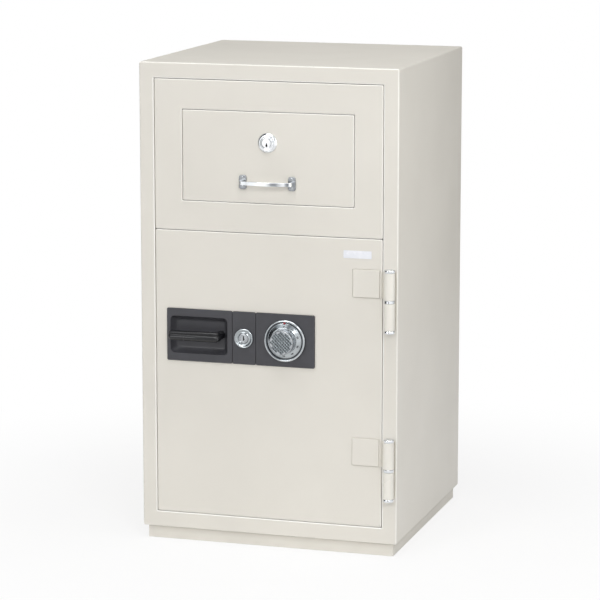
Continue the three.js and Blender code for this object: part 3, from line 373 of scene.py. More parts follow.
def makeCasing():
    facts = {"corner": 4 * mm, "edge": 3 * mm, "sheet": 3 * mm, "inCorner": 1 * mm,
             "gap": 1.6 * mm, "rimEdge": 2.2 * mm, "rimCorner": 0.8 * mm, "rebate": 26 * mm,
             "slotNear": 8.4 * mm, "slotFar": 10.4 * mm, "slotDepth": 2 * mm, "slotCorner": 0.5 * mm}
    low, high, _ = boxOf("outer_casing")
    panelLow, openHigh, _ = boxOf("upper_front_panel")
    openLow = Vector((panelLow.x, panelLow.y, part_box("door_front_plate")[0].z))
    corner, edge, sheet, rimEdge = facts["corner"], facts["edge"], facts["sheet"], facts["rimEdge"]

    def opening(outwards, y):
        return outline(openLow, openHigh, y, facts["rimCorner"], -facts["gap"] - outwards)

    loops = [outline(low, high, high.y - edge * back, corner - edge * inwards, edge * inwards)
             for inwards, back in rounding()]
    loops += reversed(edgeLoops(low, high, corner, edge))
    loops += [opening(rimEdge * inwards, low.y + rimEdge * back) for inwards, back in rounding(3)]
    loops += [opening(0, low.y + facts["rebate"]), opening(sheet, low.y + facts["rebate"]),
              opening(sheet, low.y + sheet)]
    loops += [outline(low, high, y, facts["inCorner"], sheet) for y in (low.y + sheet, high.y - sheet)]
    casing = loft("casing_shell", loops, bodyEnamel)
    # A narrow slot beside each hinge, where its frame leaf goes in behind the rim
    cutters = []
    for word in ("upper", "lower"):
        bottom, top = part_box(f"{word}_hinge_frame_knuckle")[0].z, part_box(f"{word}_hinge_door_knuckle")[1].z
        axis = boxOf(f"{word}_hinge_ring")[2].x
        cutters.append(bar("cutter", (axis + facts["slotNear"], axis + facts["slotFar"], bottom, top),
                           facts["slotCorner"], (low.y - 5 * mm, low.y + facts["slotDepth"]), bodyEnamel))
    cutOut(casing, cutters)
    weighted(casing)
    paintEdgeHighlights(casing, low, high, edgeHighlightEnamel)
    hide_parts("outer_casing")
    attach(casing, "cabinet")


makeCasing()

# Holes for the locks and the dial's spindle, through every front and plate that they pass
holes = {"lock": 13.3 * mm, "dial": 4.3 * mm, "past": 10 * mm}


# A shallow groove pressed round a cover plate
def groove(node, face):
    facts = {"inside": 0.6 * mm, "outside": 0.9 * mm, "depth": 1.4 * mm, "corner": 2 * mm}
    low, high, _ = boxOf(node)
    top, bottom = face - facts["depth"], face + facts["depth"]
    inner, outer = facts["inside"], -facts["outside"]
    loops = [outline(low, high, y, facts["corner"], inset)
             for inset, y in ((outer, top), (outer, bottom), (inner, bottom), (inner, top))]
    return loft("cutter", loops, frontEnamel, caps=False)


# Door's front: a flush tray of sheet steel with softly rounded edges and corners
def makeDoorFront():
    facts = {"corner": 2.6 * mm, "edge": 2 * mm, "sheet": 3 * mm, "inCorner": 0.8 * mm, "grow": 0.4 * mm,
             "cupLeft": 67 * mm, "cupRight": 63.9 * mm, "cupHigh": 40.8 * mm, "cupCorner": 2 * mm}
    low, high, _ = boxOf("door_front_plate")
    sheet, grow = facts["sheet"], facts["grow"]
    loops = plateLoops(low, high, facts["corner"], facts["edge"], grow)
    loops += [outline(low, high, y, facts["inCorner"], sheet - grow) for y in (high.y, low.y + sheet)]
    front = loft("door_panel", loops, frontEnamel)
    plate = boxOf("handle_plate")[2]
    through = (low.y - holes["past"], high.y)
    cupHole = bar("cutter", (plate.x - facts["cupLeft"], plate.x + facts["cupRight"],
                             plate.z - facts["cupHigh"], plate.z + facts["cupHigh"]),
                  facts["cupCorner"], through, frontEnamel)
    cutOut(front, [cupHole, drill(boxOf("key_lock_cylinder")[2], holes["lock"], through, frontEnamel),
                   drill(boxOf("dial_spindle")[2], holes["dial"], through, frontEnamel),
                   groove("upper_hinge_cover_plate", low.y), groove("lower_hinge_cover_plate", low.y)])
    weighted(front)
    paintEdgeHighlights(front, low, high, seamHighlightEnamel)
    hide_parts("door_front_plate")
    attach(front, "door")


makeDoorFront()


def makeUpperPanel():
    facts = {"corner": 3 * mm, "edge": 2 * mm, "sheet": 3 * mm, "inCorner": 0.8 * mm, "grow": 0.4 * mm,
             "gap": 1.1 * mm, "openCorner": 2 * mm}
    low, high, _ = boxOf("upper_front_panel")
    drawerLow, drawerHigh, _ = boxOf("drawer_front")
    edge, sheet, grow = facts["edge"], facts["sheet"], facts["grow"]

    def opening(outwards, y):
        return outline(drawerLow, drawerHigh, y, facts["openCorner"], -facts["gap"] - outwards)

    loops = [outline(low, high, y, facts["inCorner"], sheet - grow) for y in (low.y + sheet, high.y)]
    loops += reversed(plateLoops(low, high, facts["corner"], edge, grow))
    loops += [opening(edge * inwards, low.y + edge * back) for inwards, back in rounding()]
    loops += [opening(0, high.y), opening(sheet, high.y), opening(sheet, low.y + sheet)]
    panel = weighted(loft("fixed_panel", loops, frontEnamel, caps=False))
    paintEdgeHighlights(panel, low, high, seamHighlightEnamel)
    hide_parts("upper_front_panel")
    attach(panel, "cabinet")


makeUpperPanel()


def makeDrawerFront():
    facts = {"corner": 2.6 * mm, "edge": 2 * mm, "backEdge": 1 * mm}
    low, high, _ = boxOf("drawer_front")
    corner, backEdge = facts["corner"], facts["backEdge"]
    loops = edgeLoops(low, high, corner, facts["edge"])
    loops += [outline(low, high, high.y - backEdge, corner),
              outline(low, high, high.y, corner - backEdge, backEdge)]
    front = loft("drawer_panel", loops, frontEnamel)
    cutOut(front, [drill(boxOf("drawer_lock_cylinder")[2], holes["lock"],
                         (low.y - holes["past"], high.y + holes["past"]), frontEnamel)])
    weighted(front)
    paintEdgeHighlights(front, low, high, seamHighlightEnamel)
    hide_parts("drawer_front")
    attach(front, "drawer")


makeDrawerFront()
print("cabinet and fronts made")


# Escutcheon plates. Their cut sides are painted near black, as painted shade, which draws a dark line round
# each of them.

def paintSideShade(piece, low, high):
    facts = {"near": 0.6 * mm, "flat": -0.45}
    mesh = piece.data
    mesh.materials.append(plateSideShade)
    for polygon in mesh.polygons:
        c = polygon.center
        reach = min(c.x - low.x, high.x - c.x, c.z - low.z, high.z - c.z)
        if reach < facts["near"] and polygon.normal.y > facts["flat"] and c.y > low.y:
            polygon.material_index = len(mesh.materials) - 1


# Handle plate with its finger cup. The cup's wall falls steeply at the lip, slopes in and rounds
# into the bottom: each pair is a share of the way in and a share of the depth.
def makeHandlePlate():
    facts = {"corner": 3 * mm, "edge": 0.9 * mm, "back": 2.7 * mm, "width": 123 * mm, "height": 77 * mm,
             "cupCorner": 9 * mm, "cupTightest": 2 * mm, "shift": -1.5 * mm, "depth": 17 * mm,
             "slope": 10 * mm, "wall": 2 * mm, "lip": 1.2 * mm, "neck": 9.5 * mm, "neckFrom": 6 * mm,
             "neckTo": 30 * mm}
    fall = [(0.0, 0.12), (0.18, 0.34), (0.42, 0.6), (0.68, 0.82), (0.86, 0.93), (1.0, 0.985), (1.25, 1.0)]
    low, high, middle = boxOf("handle_plate")
    face, back = low.y, low.y + facts["back"]
    slope, depth, wall, lip = facts["slope"], facts["depth"], facts["wall"], facts["lip"]
    x, z, halfX, halfZ = middle.x + facts["shift"], middle.z, facts["width"] / 2, facts["height"] / 2

    def cup(inset, y):
        radius = max(facts["cupCorner"] - inset * 0.5, facts["cupTightest"])
        return roundRect(x - halfX + inset, x + halfX - inset, z - halfZ + inset, z + halfZ - inset,
                         radius, y, steps=6)

    # Up the back of the cup, round the plate's edge, over the lip and down into the cup
    loops = [cup(slope * fall[-1][0] - wall, face + depth + wall)]
    loops += [cup(slope * inwards - wall, face + depth * down + wall * 0.8)
              for inwards, down in reversed(fall[:-1])]
    loops += [cup(-wall, back), outline(low, high, back, facts["corner"], steps=6)]
    loops += reversed(edgeLoops(low, high, facts["corner"], facts["edge"], steps=6))
    loops += [cup(-lip * inwards, face + lip * backwards) for inwards, backwards in rounding(3)]
    loops += [cup(slope * inwards, face + depth * down) for inwards, down in fall]
    plate = loft("escutcheon_handle_plate", loops, plateEnamel, angle=50)
    cutOut(plate, [drill(boxOf("lever_spindle")[2], facts["neck"],
                         (face + facts["neckFrom"], face + facts["neckTo"]), plateEnamel)])
    paintSideShade(plate, low, high)
    weighted(plate)
    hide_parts("handle_plate")
    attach(plate, "door")


makeHandlePlate()


def makeFlatPlate(name, node, hole, holeNode):
    facts = {"corner": 3 * mm, "edge": 0.9 * mm}
    low, high, _ = boxOf(node)
    plate = loft(name, plateLoops(low, high, facts["corner"], facts["edge"]), plateEnamel)
    cutOut(plate, [drill(boxOf(holeNode)[2], hole, (low.y - holes["past"], high.y + holes["past"]),
                         plateEnamel)])
    paintSideShade(plate, low, high)
    weighted(plate)
    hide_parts(node)
    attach(plate, "door")


makeFlatPlate("escutcheon_key_plate", "key_plate", holes["lock"], "key_lock_cylinder")
makeFlatPlate("escutcheon_dial_plate", "dial_plate", holes["dial"], "dial_spindle")


# A closed smooth curve through a few points
def smoothClosed(points, steps=5):
    count = len(points)
    curve = []
    for n in range(count):
        p0, p1, p2, p3 = (Vector(points[(n + k) % count]) for k in (-1, 0, 1, 2))
        for s in range(steps):
            t = s / steps
            curve.append(0.5 * (2 * p1 + (p2 - p0) * t + (2 * p0 - 5 * p1 + 4 * p2 - p3) * t ** 2
                                + (3 * p1 - p0 - 3 * p2 + p3) * t ** 3))
    return curve


# Lever: a bar with two ridges along its front, bent back at its right end into a round neck. Its
# section is in shares of half its thickness forwards and half its height up.
def makeLever():
    facts = {"height": 22 * mm, "thick": 16 * mm, "neck": 9 * mm, "bend": 3.4 * mm, "nose": 5 * mm,
             "roundOver": 7 * mm}
    ridges = [(-0.9, 0.6), (-0.5, 0.92), (0.1, 1.0), (0.6, 0.93), (0.86, 0.74), (0.86, 0.54), (0.7, 0.36),
              (0.7, 0.24), (0.88, 0.06), (1.0, -0.14), (0.96, -0.4), (0.62, -0.72), (0.1, -0.92),
              (-0.5, -0.88), (-0.92, -0.5), (-1.0, 0.1)]
    section = smoothClosed(ridges)
    low, high, middle = boxOf("lever_handle")
    axisX = boxOf("lever_spindle")[2].x
    halfT, halfH = facts["thick"] / 2, facts["height"] / 2
    nose, bend, centreY = facts["nose"], facts["bend"], low.y + halfT
    quarter = math.pi / 2
    # Stations along the bar: X, Y, heading, how far the section is drawn in, how round it is
    stations = []
    for angle in (quarter * n / 6 for n in range(7)):
        stations.append((low.x + nose * (1 - math.cos(angle)), centreY,
                         0.0, nose * (1 - math.sin(angle)), 0.0))
    for angle in (0.0, quarter / 2, quarter):
        stations.append((axisX - bend + bend * math.sin(angle), centreY + bend * (1 - math.cos(angle)),
                         angle, 0.0, 0.0))
    for share in (0.25, 0.5, 0.75, 1.0):
        stations.append((axisX, centreY + bend + facts["roundOver"] * share, quarter, 0.0, share))
    stations.append((axisX, high.y, quarter, 0.0, 1.0))
    loops = []
    for x, y, angle, drawn, roundness in stations:
        forward = Vector((math.sin(angle), -math.cos(angle), 0))
        loop = []
        for share in section:
            flat = Vector((share.x * (halfT - drawn), share.y * (halfH - drawn)))
            mixed = flat.lerp(share.normalized() * facts["neck"], roundness)
            loop.append(Vector((x, y, middle.z)) + forward * mixed.x + Vector((0, 0, mixed.y)))
        loops.append(loop)
    lever = loft("lever_grip", loops, leverEnamel, angle=42)
    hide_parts("lever_handle")
    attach(lever, "lever")


makeLever()
print("escutcheon and lever made")


# Locks: a ring round a turned plug with a keyway. Steps of the ring's and the plug's face are in mm,
# as how far in from the edge and how far behind the face.
lockSizes = {"ring": 20.5 * mm, "barrel": 13 * mm, "bore": 10.4 * mm,
             "plug": 10 * mm, "stem": 5 * mm, "tail": 3.6 * mm}


def lockRing(name, node, thick, steps, material):
    low, high, middle = boxOf(node)
    ring, barrel, base = lockSizes["ring"], lockSizes["barrel"], low.y + thick
    profile = [(lockSizes["bore"], high.y), (barrel, high.y), (barrel, base), (ring, base)]
    return turned(name, middle, profile + relief(ring, low.y, steps), material, caps=False, angle=50)


def lockPlug(name, middle, face, back, steps, material):
    radius, stem, step = lockSizes["plug"], lockSizes["stem"], back - lockSizes["tail"]
    profile = [(0, back), (stem, back), (stem, step), (radius, step)]
    return turned(name, middle, profile + relief(radius, face, steps), material, angle=40)


# Key lock of the door: a dished ring, and a plug with a straight keyway and its ward
def makeKeyLock():
    facts = {"thick": 4.7 * mm, "before": 5 * mm,
             "dish": [(0, 2.2), (0.4, 1), (1.2, 0.25), (2.2, 0), (3.2, 0.2), (4, 0.9), (5.2, 2.6), (7, 3.3),
                      (8.3, 3.2), (9.1, 2.5), (9.6, 2.3), (10.1, 2.6)],
             "plugFace": [(0, 0.9), (0.25, 0.3), (0.9, 0), (2.6, 0), (3, 0.35), (3.4, 0), (10, 0)],
             "keyway": {"left": -1.1 * mm, "right": 1.1 * mm, "low": -5 * mm, "high": 5.2 * mm,
                        "corner": 1 * mm, "depth": 8 * mm},
             "ward": {"left": 0.4 * mm, "right": 2.4 * mm, "low": -3.4 * mm, "high": -0.6 * mm,
                      "corner": 0.6 * mm, "depth": 7 * mm}}
    housing = lockRing("key_lock_housing", "key_lock_cylinder", facts["thick"], facts["dish"], satinSilver)
    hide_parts("key_lock_cylinder")
    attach(housing, "door")

    middle = boxOf("key_lock_cylinder")[2]
    low, high, _ = boxOf("key_plug")
    plug = lockPlug("key_lock_plug", middle, low.y, high.y, facts["plugFace"], satinChrome)
    # The keyway and its ward are cut out; their faces take the painted shade
    cutOut(plug, [bar("cutter", (middle.x + cut["left"], middle.x + cut["right"],
                                 middle.z + cut["low"], middle.z + cut["high"]),
                      cut["corner"], (low.y - facts["before"], low.y + cut["depth"]), keywayShade)
                  for cut in (facts["keyway"], facts["ward"])])
    weighted(plug)
    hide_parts("key_plug")
    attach(plug, "door_key")


makeKeyLock()


# Dial's bezel, with its index: a short red tongue that reaches in over the dial's edge
def makeBezel():
    facts = {"outer": 44 * mm, "inner": 38 * mm,
             "round": [(0, 3.4), (0.3, 2.2), (1, 1), (2, 0.25), (3, 0), (4, 0.25), (5, 1), (5.7, 2.2),
                       (6, 3.4)],
             "indexHalf": 2.1 * mm, "indexFrom": 35.6 * mm, "indexTo": 38.4 * mm, "indexCorner": 0.5 * mm,
             "indexFace": 0.5 * mm, "indexBack": 1.4 * mm}
    low, high, middle = boxOf("dial_bezel")
    bezel = turned("dial_bezel_ring", middle, [
        (facts["inner"], high.y), (facts["outer"], high.y), *relief(facts["outer"], low.y, facts["round"])],
        polishedSteel, count=128, caps=False, angle=50)
    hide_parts("dial_bezel")
    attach(bezel, "door")

    index = bar("dial_index", (middle.x - facts["indexHalf"], middle.x + facts["indexHalf"],
                               middle.z + facts["indexFrom"], middle.z + facts["indexTo"]),
                facts["indexCorner"], (low.y + facts["indexFace"], low.y + facts["indexBack"]), redPaint)
    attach(index, "door")


makeBezel()


# Geometry nodes for what repeats: each tree has named inputs, and its result is taken as a plain mesh

def newTree(name, sockets):
    tree = bpy.data.node_groups.new(name, "GeometryNodeTree")
    tree.interface.new_socket("Geometry", in_out="INPUT", socket_type="NodeSocketGeometry")
    for label, kind in sockets.items():
        tree.interface.new_socket(label, in_out="INPUT", socket_type="NodeSocket" + kind)
    tree.interface.new_socket("Geometry", in_out="OUTPUT", socket_type="NodeSocketGeometry")
    return tree, addNode(tree, "NodeGroupInput").outputs


def endTree(tree, instances, material):
    real = addNode(tree, "GeometryNodeRealizeInstances", inputs={"Geometry": instances})
    skin = addNode(tree, "GeometryNodeSetMaterial", inputs={"Geometry": real, "Material": material})
    addNode(tree, "NodeGroupOutput", inputs={"Geometry": skin})
    return tree


def pieceFrom(tree, name, inputs, points=((0, 0, 0),)):
    base = bpy.data.meshes.new(name + "_base")
    base.from_pydata(points, [], [])
    holder = bpy.data.objects.new(name + "_base", base)
    scene.collection.objects.link(holder)
    modifier = holder.modifiers.new("repeat", "NODES")
    modifier.node_group = tree
    for socket in tree.interface.items_tree:
        if socket.in_out == "INPUT" and socket.name in inputs:
            modifier[socket.identifier] = inputs[socket.name]
    mesh = bpy.data.meshes.new_from_object(holder.evaluated_get(bpy.context.evaluated_depsgraph_get()))
    mesh.name = name
    bpy.data.objects.remove(holder)
    piece = bpy.data.objects.new(name, mesh)
    scene.collection.objects.link(piece)
    return piece


# Four-sided points in a staggered grid over a round face that looks along -Y
def knurlTree():
    tree, entry = newTree("knurl", {"Centre": "Vector", "Pitch": "Float", "Tip": "Float", "Reach": "Float",
                                    "Material": "Material"})
    spacing = addNode(tree, "ShaderNodeMath", {"operation": "DIVIDE"}, {0: entry["Pitch"], 1: math.sqrt(2)})
    fit = addNode(tree, "ShaderNodeMath", {"operation": "DIVIDE"}, {0: entry["Reach"], 1: spacing})
    whole = addNode(tree, "ShaderNodeMath", {"operation": "CEIL"}, {0: fit})
    steps = addNode(tree, "ShaderNodeMath", {"operation": "MULTIPLY"}, {0: whole, 1: 2})
    count = addNode(tree, "ShaderNodeMath", {"operation": "ADD"}, {0: steps, 1: 1})
    width = addNode(tree, "ShaderNodeMath", {"operation": "MULTIPLY"}, {0: steps, 1: spacing})
    grid = addNode(tree, "GeometryNodeMeshGrid", inputs={
        "Size X": width, "Size Y": width, "Vertices X": count, "Vertices Y": count})
    # Points that would stand over the face's border are left out
    away = addNode(tree, "ShaderNodeVectorMath", {"operation": "LENGTH"},
                   {0: addNode(tree, "GeometryNodeInputPosition")})
    half = addNode(tree, "ShaderNodeMath", {"operation": "MULTIPLY"}, {0: entry["Pitch"], 1: 0.5})
    room = addNode(tree, "ShaderNodeMath", {"operation": "SUBTRACT"}, {0: entry["Reach"], 1: half})
    kept = addNode(tree, "ShaderNodeMath", {"operation": "LESS_THAN"}, {0: away.outputs["Value"], 1: room})
    radius = addNode(tree, "ShaderNodeMath", {"operation": "MULTIPLY"}, {0: entry["Pitch"], 1: 0.49})
    point = addNode(tree, "GeometryNodeMeshCone", inputs={
        "Vertices": 4, "Radius Top": 0.0, "Radius Bottom": radius, "Depth": entry["Tip"]})
    place = addNode(tree, "GeometryNodeInstanceOnPoints", inputs={
        "Points": grid, "Instance": point, "Rotation": (0, 0, math.radians(45)), "Selection": kept})
    stand = addNode(tree, "GeometryNodeTransform", inputs={
        "Geometry": place, "Rotation": (math.radians(90), math.radians(45), 0),
        "Translation": entry["Centre"]})
    return endTree(tree, stand, entry["Material"])


# Marks round a dial that looks along -Y, lying on its cone: every tenth long and broad, every fifth
# between
def marksTree():
    tree, entry = newTree("dial_marks", {
        "Centre": "Vector", "Count": "Int", "Radius": "Float", "Tilt": "Float", "Short": "Float",
        "Middle": "Float", "Long": "Float", "Thin": "Float", "Broad": "Float", "Height": "Float",
        "Material": "Material"})
    ring = addNode(tree, "GeometryNodeMeshCircle", inputs={
        "Vertices": entry["Count"], "Radius": entry["Radius"]})
    index = addNode(tree, "GeometryNodeInputIndex")
    rests = [addNode(tree, "ShaderNodeMath", {"operation": "MODULO"}, {0: index, 1: n}) for n in (10, 5)]
    tenth, fifth = (addNode(tree, "ShaderNodeMath", {"operation": "LESS_THAN"}, {0: rest, 1: 0.5})
                    for rest in rests)
    shorter = addNode(tree, "GeometryNodeSwitch", {"input_type": "FLOAT"},
                      {"Switch": fifth, "False": entry["Short"], "True": entry["Middle"]})
    length = addNode(tree, "GeometryNodeSwitch", {"input_type": "FLOAT"},
                     {"Switch": tenth, "False": shorter, "True": entry["Long"]})
    width = addNode(tree, "GeometryNodeSwitch", {"input_type": "FLOAT"},
                    {"Switch": tenth, "False": entry["Thin"], "True": entry["Broad"]})
    size = addNode(tree, "ShaderNodeCombineXYZ", inputs={"X": width, "Y": length, "Z": entry["Height"]})
    share = addNode(tree, "ShaderNodeMath", {"operation": "DIVIDE"}, {0: index, 1: entry["Count"]})
    turn = addNode(tree, "ShaderNodeMath", {"operation": "MULTIPLY"}, {0: share, 1: 2 * math.pi})
    facing = addNode(tree, "ShaderNodeMath", {"operation": "SUBTRACT"}, {0: turn, 1: math.pi / 2})
    lean = addNode(tree, "ShaderNodeMath", {"operation": "MULTIPLY"}, {0: entry["Tilt"], 1: -1})
    heading = addNode(tree, "ShaderNodeCombineXYZ", inputs={"X": lean, "Z": facing})
    mark = addNode(tree, "GeometryNodeTransform", inputs={
        "Geometry": addNode(tree, "GeometryNodeMeshCube"), "Translation": (0, -0.5, 0)})
    place = addNode(tree, "GeometryNodeInstanceOnPoints", inputs={
        "Points": ring, "Instance": mark, "Rotation": heading, "Scale": size})
    stand = addNode(tree, "GeometryNodeTransform", inputs={
        "Geometry": place, "Rotation": (math.radians(90), math.radians(-90), 0),
        "Translation": entry["Centre"]})
    return endTree(tree, stand, entry["Material"])


# Copies of one piece on the points given
def copiesTree():
    tree, entry = newTree("copies", {"Source": "Object", "Size": "Float", "Turn": "Float",
                                     "Material": "Material"})
    source = addNode(tree, "GeometryNodeObjectInfo", inputs={"Object": entry["Source"]})
    heading = addNode(tree, "ShaderNodeCombineXYZ", inputs={"Y": entry["Turn"]})
    place = addNode(tree, "GeometryNodeInstanceOnPoints", inputs={
        "Points": entry["Geometry"], "Instance": source.outputs["Geometry"], "Rotation": heading,
        "Scale": entry["Size"]})
    return endTree(tree, place, entry["Material"])


# Combination dial: a coned flange, a grip milled into flutes, and the grip's knurled face sunk behind
# a narrow lip. The knurl is coarser than the 2 mm of a real one, so that it shows.
def makeDial():
    facts = {"flange": 36.5 * mm, "edge": 3 * mm, "rise": 6.5 * mm, "skirt": 27.4 * mm, "grip": 25.4 * mm,
             "flutes": 48, "fluteDepth": 0.55 * mm, "sunk": 1.3 * mm,
             "pitch": 7 * mm, "tip": 1.2 * mm, "reach": 0.97}
    low, high, middle = boxOf("dial_knob")
    flange, skirt, grip, face = facts["flange"], facts["skirt"], facts["grip"], low.y
    rim = high.y - facts["edge"]
    neck = rim - facts["rise"]
    cone = {"middle": middle, "outer": flange - 0.9 * mm, "inner": skirt + 0.8 * mm,
            "outerDepth": rim, "innerDepth": neck}
    disc = turned("dial_flange", middle, [
        (0, high.y), (flange - 0.6 * mm, high.y), (flange, high.y - 0.6 * mm), (flange, rim + 0.5 * mm),
        (flange - 0.25 * mm, rim + 0.1 * mm), (cone["outer"], rim), (cone["inner"], neck),
        (skirt, neck - 0.2 * mm), (grip + 1 * mm, neck - 0.2 * mm), (grip - 1 * mm, neck), (0, neck)],
        satinSilver, count=128, angle=35)
    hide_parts("dial_knob")
    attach(disc, "dial")

    # The grip's profile: share of its radius, depth, and how deep its flutes are there
    profile = [(1.0, neck - 0.3 * mm, 0.0), (1.0, neck - 1.5 * mm, 1.0), (1.0, face + 3.2 * mm, 1.0),
               (0.99, face + 1.4 * mm, 0.6), (0.972, face + 0.5 * mm, 0.0), (0.955, face + 0.25 * mm, 0.0),
               (0.94, face + facts["sunk"] - 0.05 * mm, 0.0)]
    count = facts["flutes"] * 4
    loops = []
    for share, y, milled in profile:
        loop = []
        for n in range(count):
            a = 2 * math.pi * n / count
            wave = 0.5 - 0.5 * math.cos(a * facts["flutes"])
            radius = grip * share - facts["fluteDepth"] * milled * wave
            loop.append(Vector((middle.x + radius * math.cos(a), y, middle.z + radius * math.sin(a))))
        loops.append(loop)
    knob = loft("dial_grip", loops, satinChrome, angle=60)
    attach(knob, "dial")

    knurl = pieceFrom(knurlTree(), "dial_grip_knurl", {
        "Centre": (middle.x, face + facts["sunk"], middle.z), "Pitch": facts["pitch"], "Tip": facts["tip"],
        "Reach": grip * facts["reach"], "Material": knurledChrome})
    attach(knurl, "dial")
    return cone


dialCone = makeDial()


# Marks and figures on the dial's cone

def conePoint(cone, inwards, angle):
    radius = cone["outer"] - inwards
    share = inwards / (cone["outer"] - cone["inner"])
    depth = cone["outerDepth"] + (cone["innerDepth"] - cone["outerDepth"]) * share
    x, z = cone["middle"].x, cone["middle"].z
    return Vector((x + radius * math.sin(angle), depth, z + radius * math.cos(angle)))


def coneTilt(cone):
    return math.atan2(cone["outerDepth"] - cone["innerDepth"], cone["outer"] - cone["inner"])


def makeDialMarks(cone):
    facts = {"count": 100, "inset": 0.2 * mm, "short": 1.3 * mm, "middle": 1.9 * mm, "long": 2.6 * mm,
             "thin": 0.28 * mm, "broad": 0.6 * mm, "height": 0.24 * mm}
    depth = conePoint(cone, facts["inset"], 0).y
    marks = pieceFrom(marksTree(), "dial_marks", {
        "Centre": (cone["middle"].x, depth, cone["middle"].z), "Count": facts["count"],
        "Radius": cone["outer"] - facts["inset"], "Tilt": coneTilt(cone), "Short": facts["short"],
        "Middle": facts["middle"], "Long": facts["long"], "Thin": facts["thin"], "Broad": facts["broad"],
        "Height": facts["height"], "Material": blackPaint})
    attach(marks, "dial")


makeDialMarks(dialCone)


def makeDialFigures(cone):
    facts = {"count": 10, "step": 10, "size": 5.6 * mm, "bold": 0.22 * mm, "thick": 0.12 * mm,
             "inset": 5.2 * mm}
    upright = Matrix.Rotation(math.pi / 2, 4, "X")
    lean = Matrix.Rotation(-coneTilt(cone), 4, "X")
    for n in range(facts["count"]):
        curve = bpy.data.curves.new("figure", "FONT")
        curve.body = str(n * facts["step"])
        curve.size, curve.offset, curve.extrude = facts["size"], facts["bold"], facts["thick"]
        curve.align_x = curve.align_y = "CENTER"
        holder = bpy.data.objects.new("figure", curve)
        scene.collection.objects.link(holder)
        mesh = bpy.data.meshes.new_from_object(holder.evaluated_get(bpy.context.evaluated_depsgraph_get()))
        bpy.data.objects.remove(holder)
        angle = 2 * math.pi * n / facts["count"]
        place = Matrix.Translation(conePoint(cone, facts["inset"], angle))
        mesh.transform(place @ Matrix.Rotation(angle, 4, "Y") @ lean @ upright)
        mesh.materials.clear()
        figure = finished(f"dial_figure_{curve.body}", mesh, blackPaint)
        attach(figure, "dial")


makeDialFigures(dialCone)
print("locks and dial made")


# Drawer's lock: a domed rosette with an inner lip, and a plug whose keyway is pear-shaped, narrow
# above and wide below, closing to a point
def makeDrawerLock():
    facts = {"thick": 6.2 * mm, "sunk": 0.15 * mm, "before": 5 * mm, "depth": 6 * mm,
             "dome": [(0, 5.4), (0.4, 4.7), (1.4, 3.6), (2.6, 2.5), (3.6, 1.7), (4.6, 1.25), (5.8, 1.1),
                      (7.4, 1.4), (7.6, 0.5), (8.1, 0.05), (8.9, 0), (10.1, 0.3)],
             "plugFace": [(0, 0.8), (0.2, 0.2), (0.8, 0), (10, 0)],
             "pear": [(0.8, -0.2), (1.0, -2.0), (1.7, -3.6), (2.2, -5.2), (1.7, -6.8), (0, -8.0),
                      (-1.7, -6.8), (-2.2, -5.2), (-1.7, -3.6), (-1.0, -2.0), (-0.8, -0.2), (0, 0.6)]}
    housing = lockRing("drawer_lock_rosette", "drawer_lock_cylinder", facts["thick"], facts["dome"],
                       softChrome)
    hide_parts("drawer_lock_cylinder")
    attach(housing, "drawer")

    middle = boxOf("drawer_lock_cylinder")[2]
    low, high, _ = boxOf("drawer_key_plug")
    face = low.y + facts["sunk"]
    plug = lockPlug("drawer_lock_plug", middle, face, high.y, facts["plugFace"], softChrome)
    pears = [[Vector((middle.x + px * mm, y, middle.z + pz * mm)) for px, pz in facts["pear"]]
             for y in (face - facts["before"], face + facts["depth"])]
    # The keyway's cut faces take the painted shade
    cutOut(plug, [loft("cutter", pears, keywayShade)])
    weighted(plug)
    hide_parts("drawer_key_plug")
    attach(plug, "drawer_key")


makeDrawerLock()


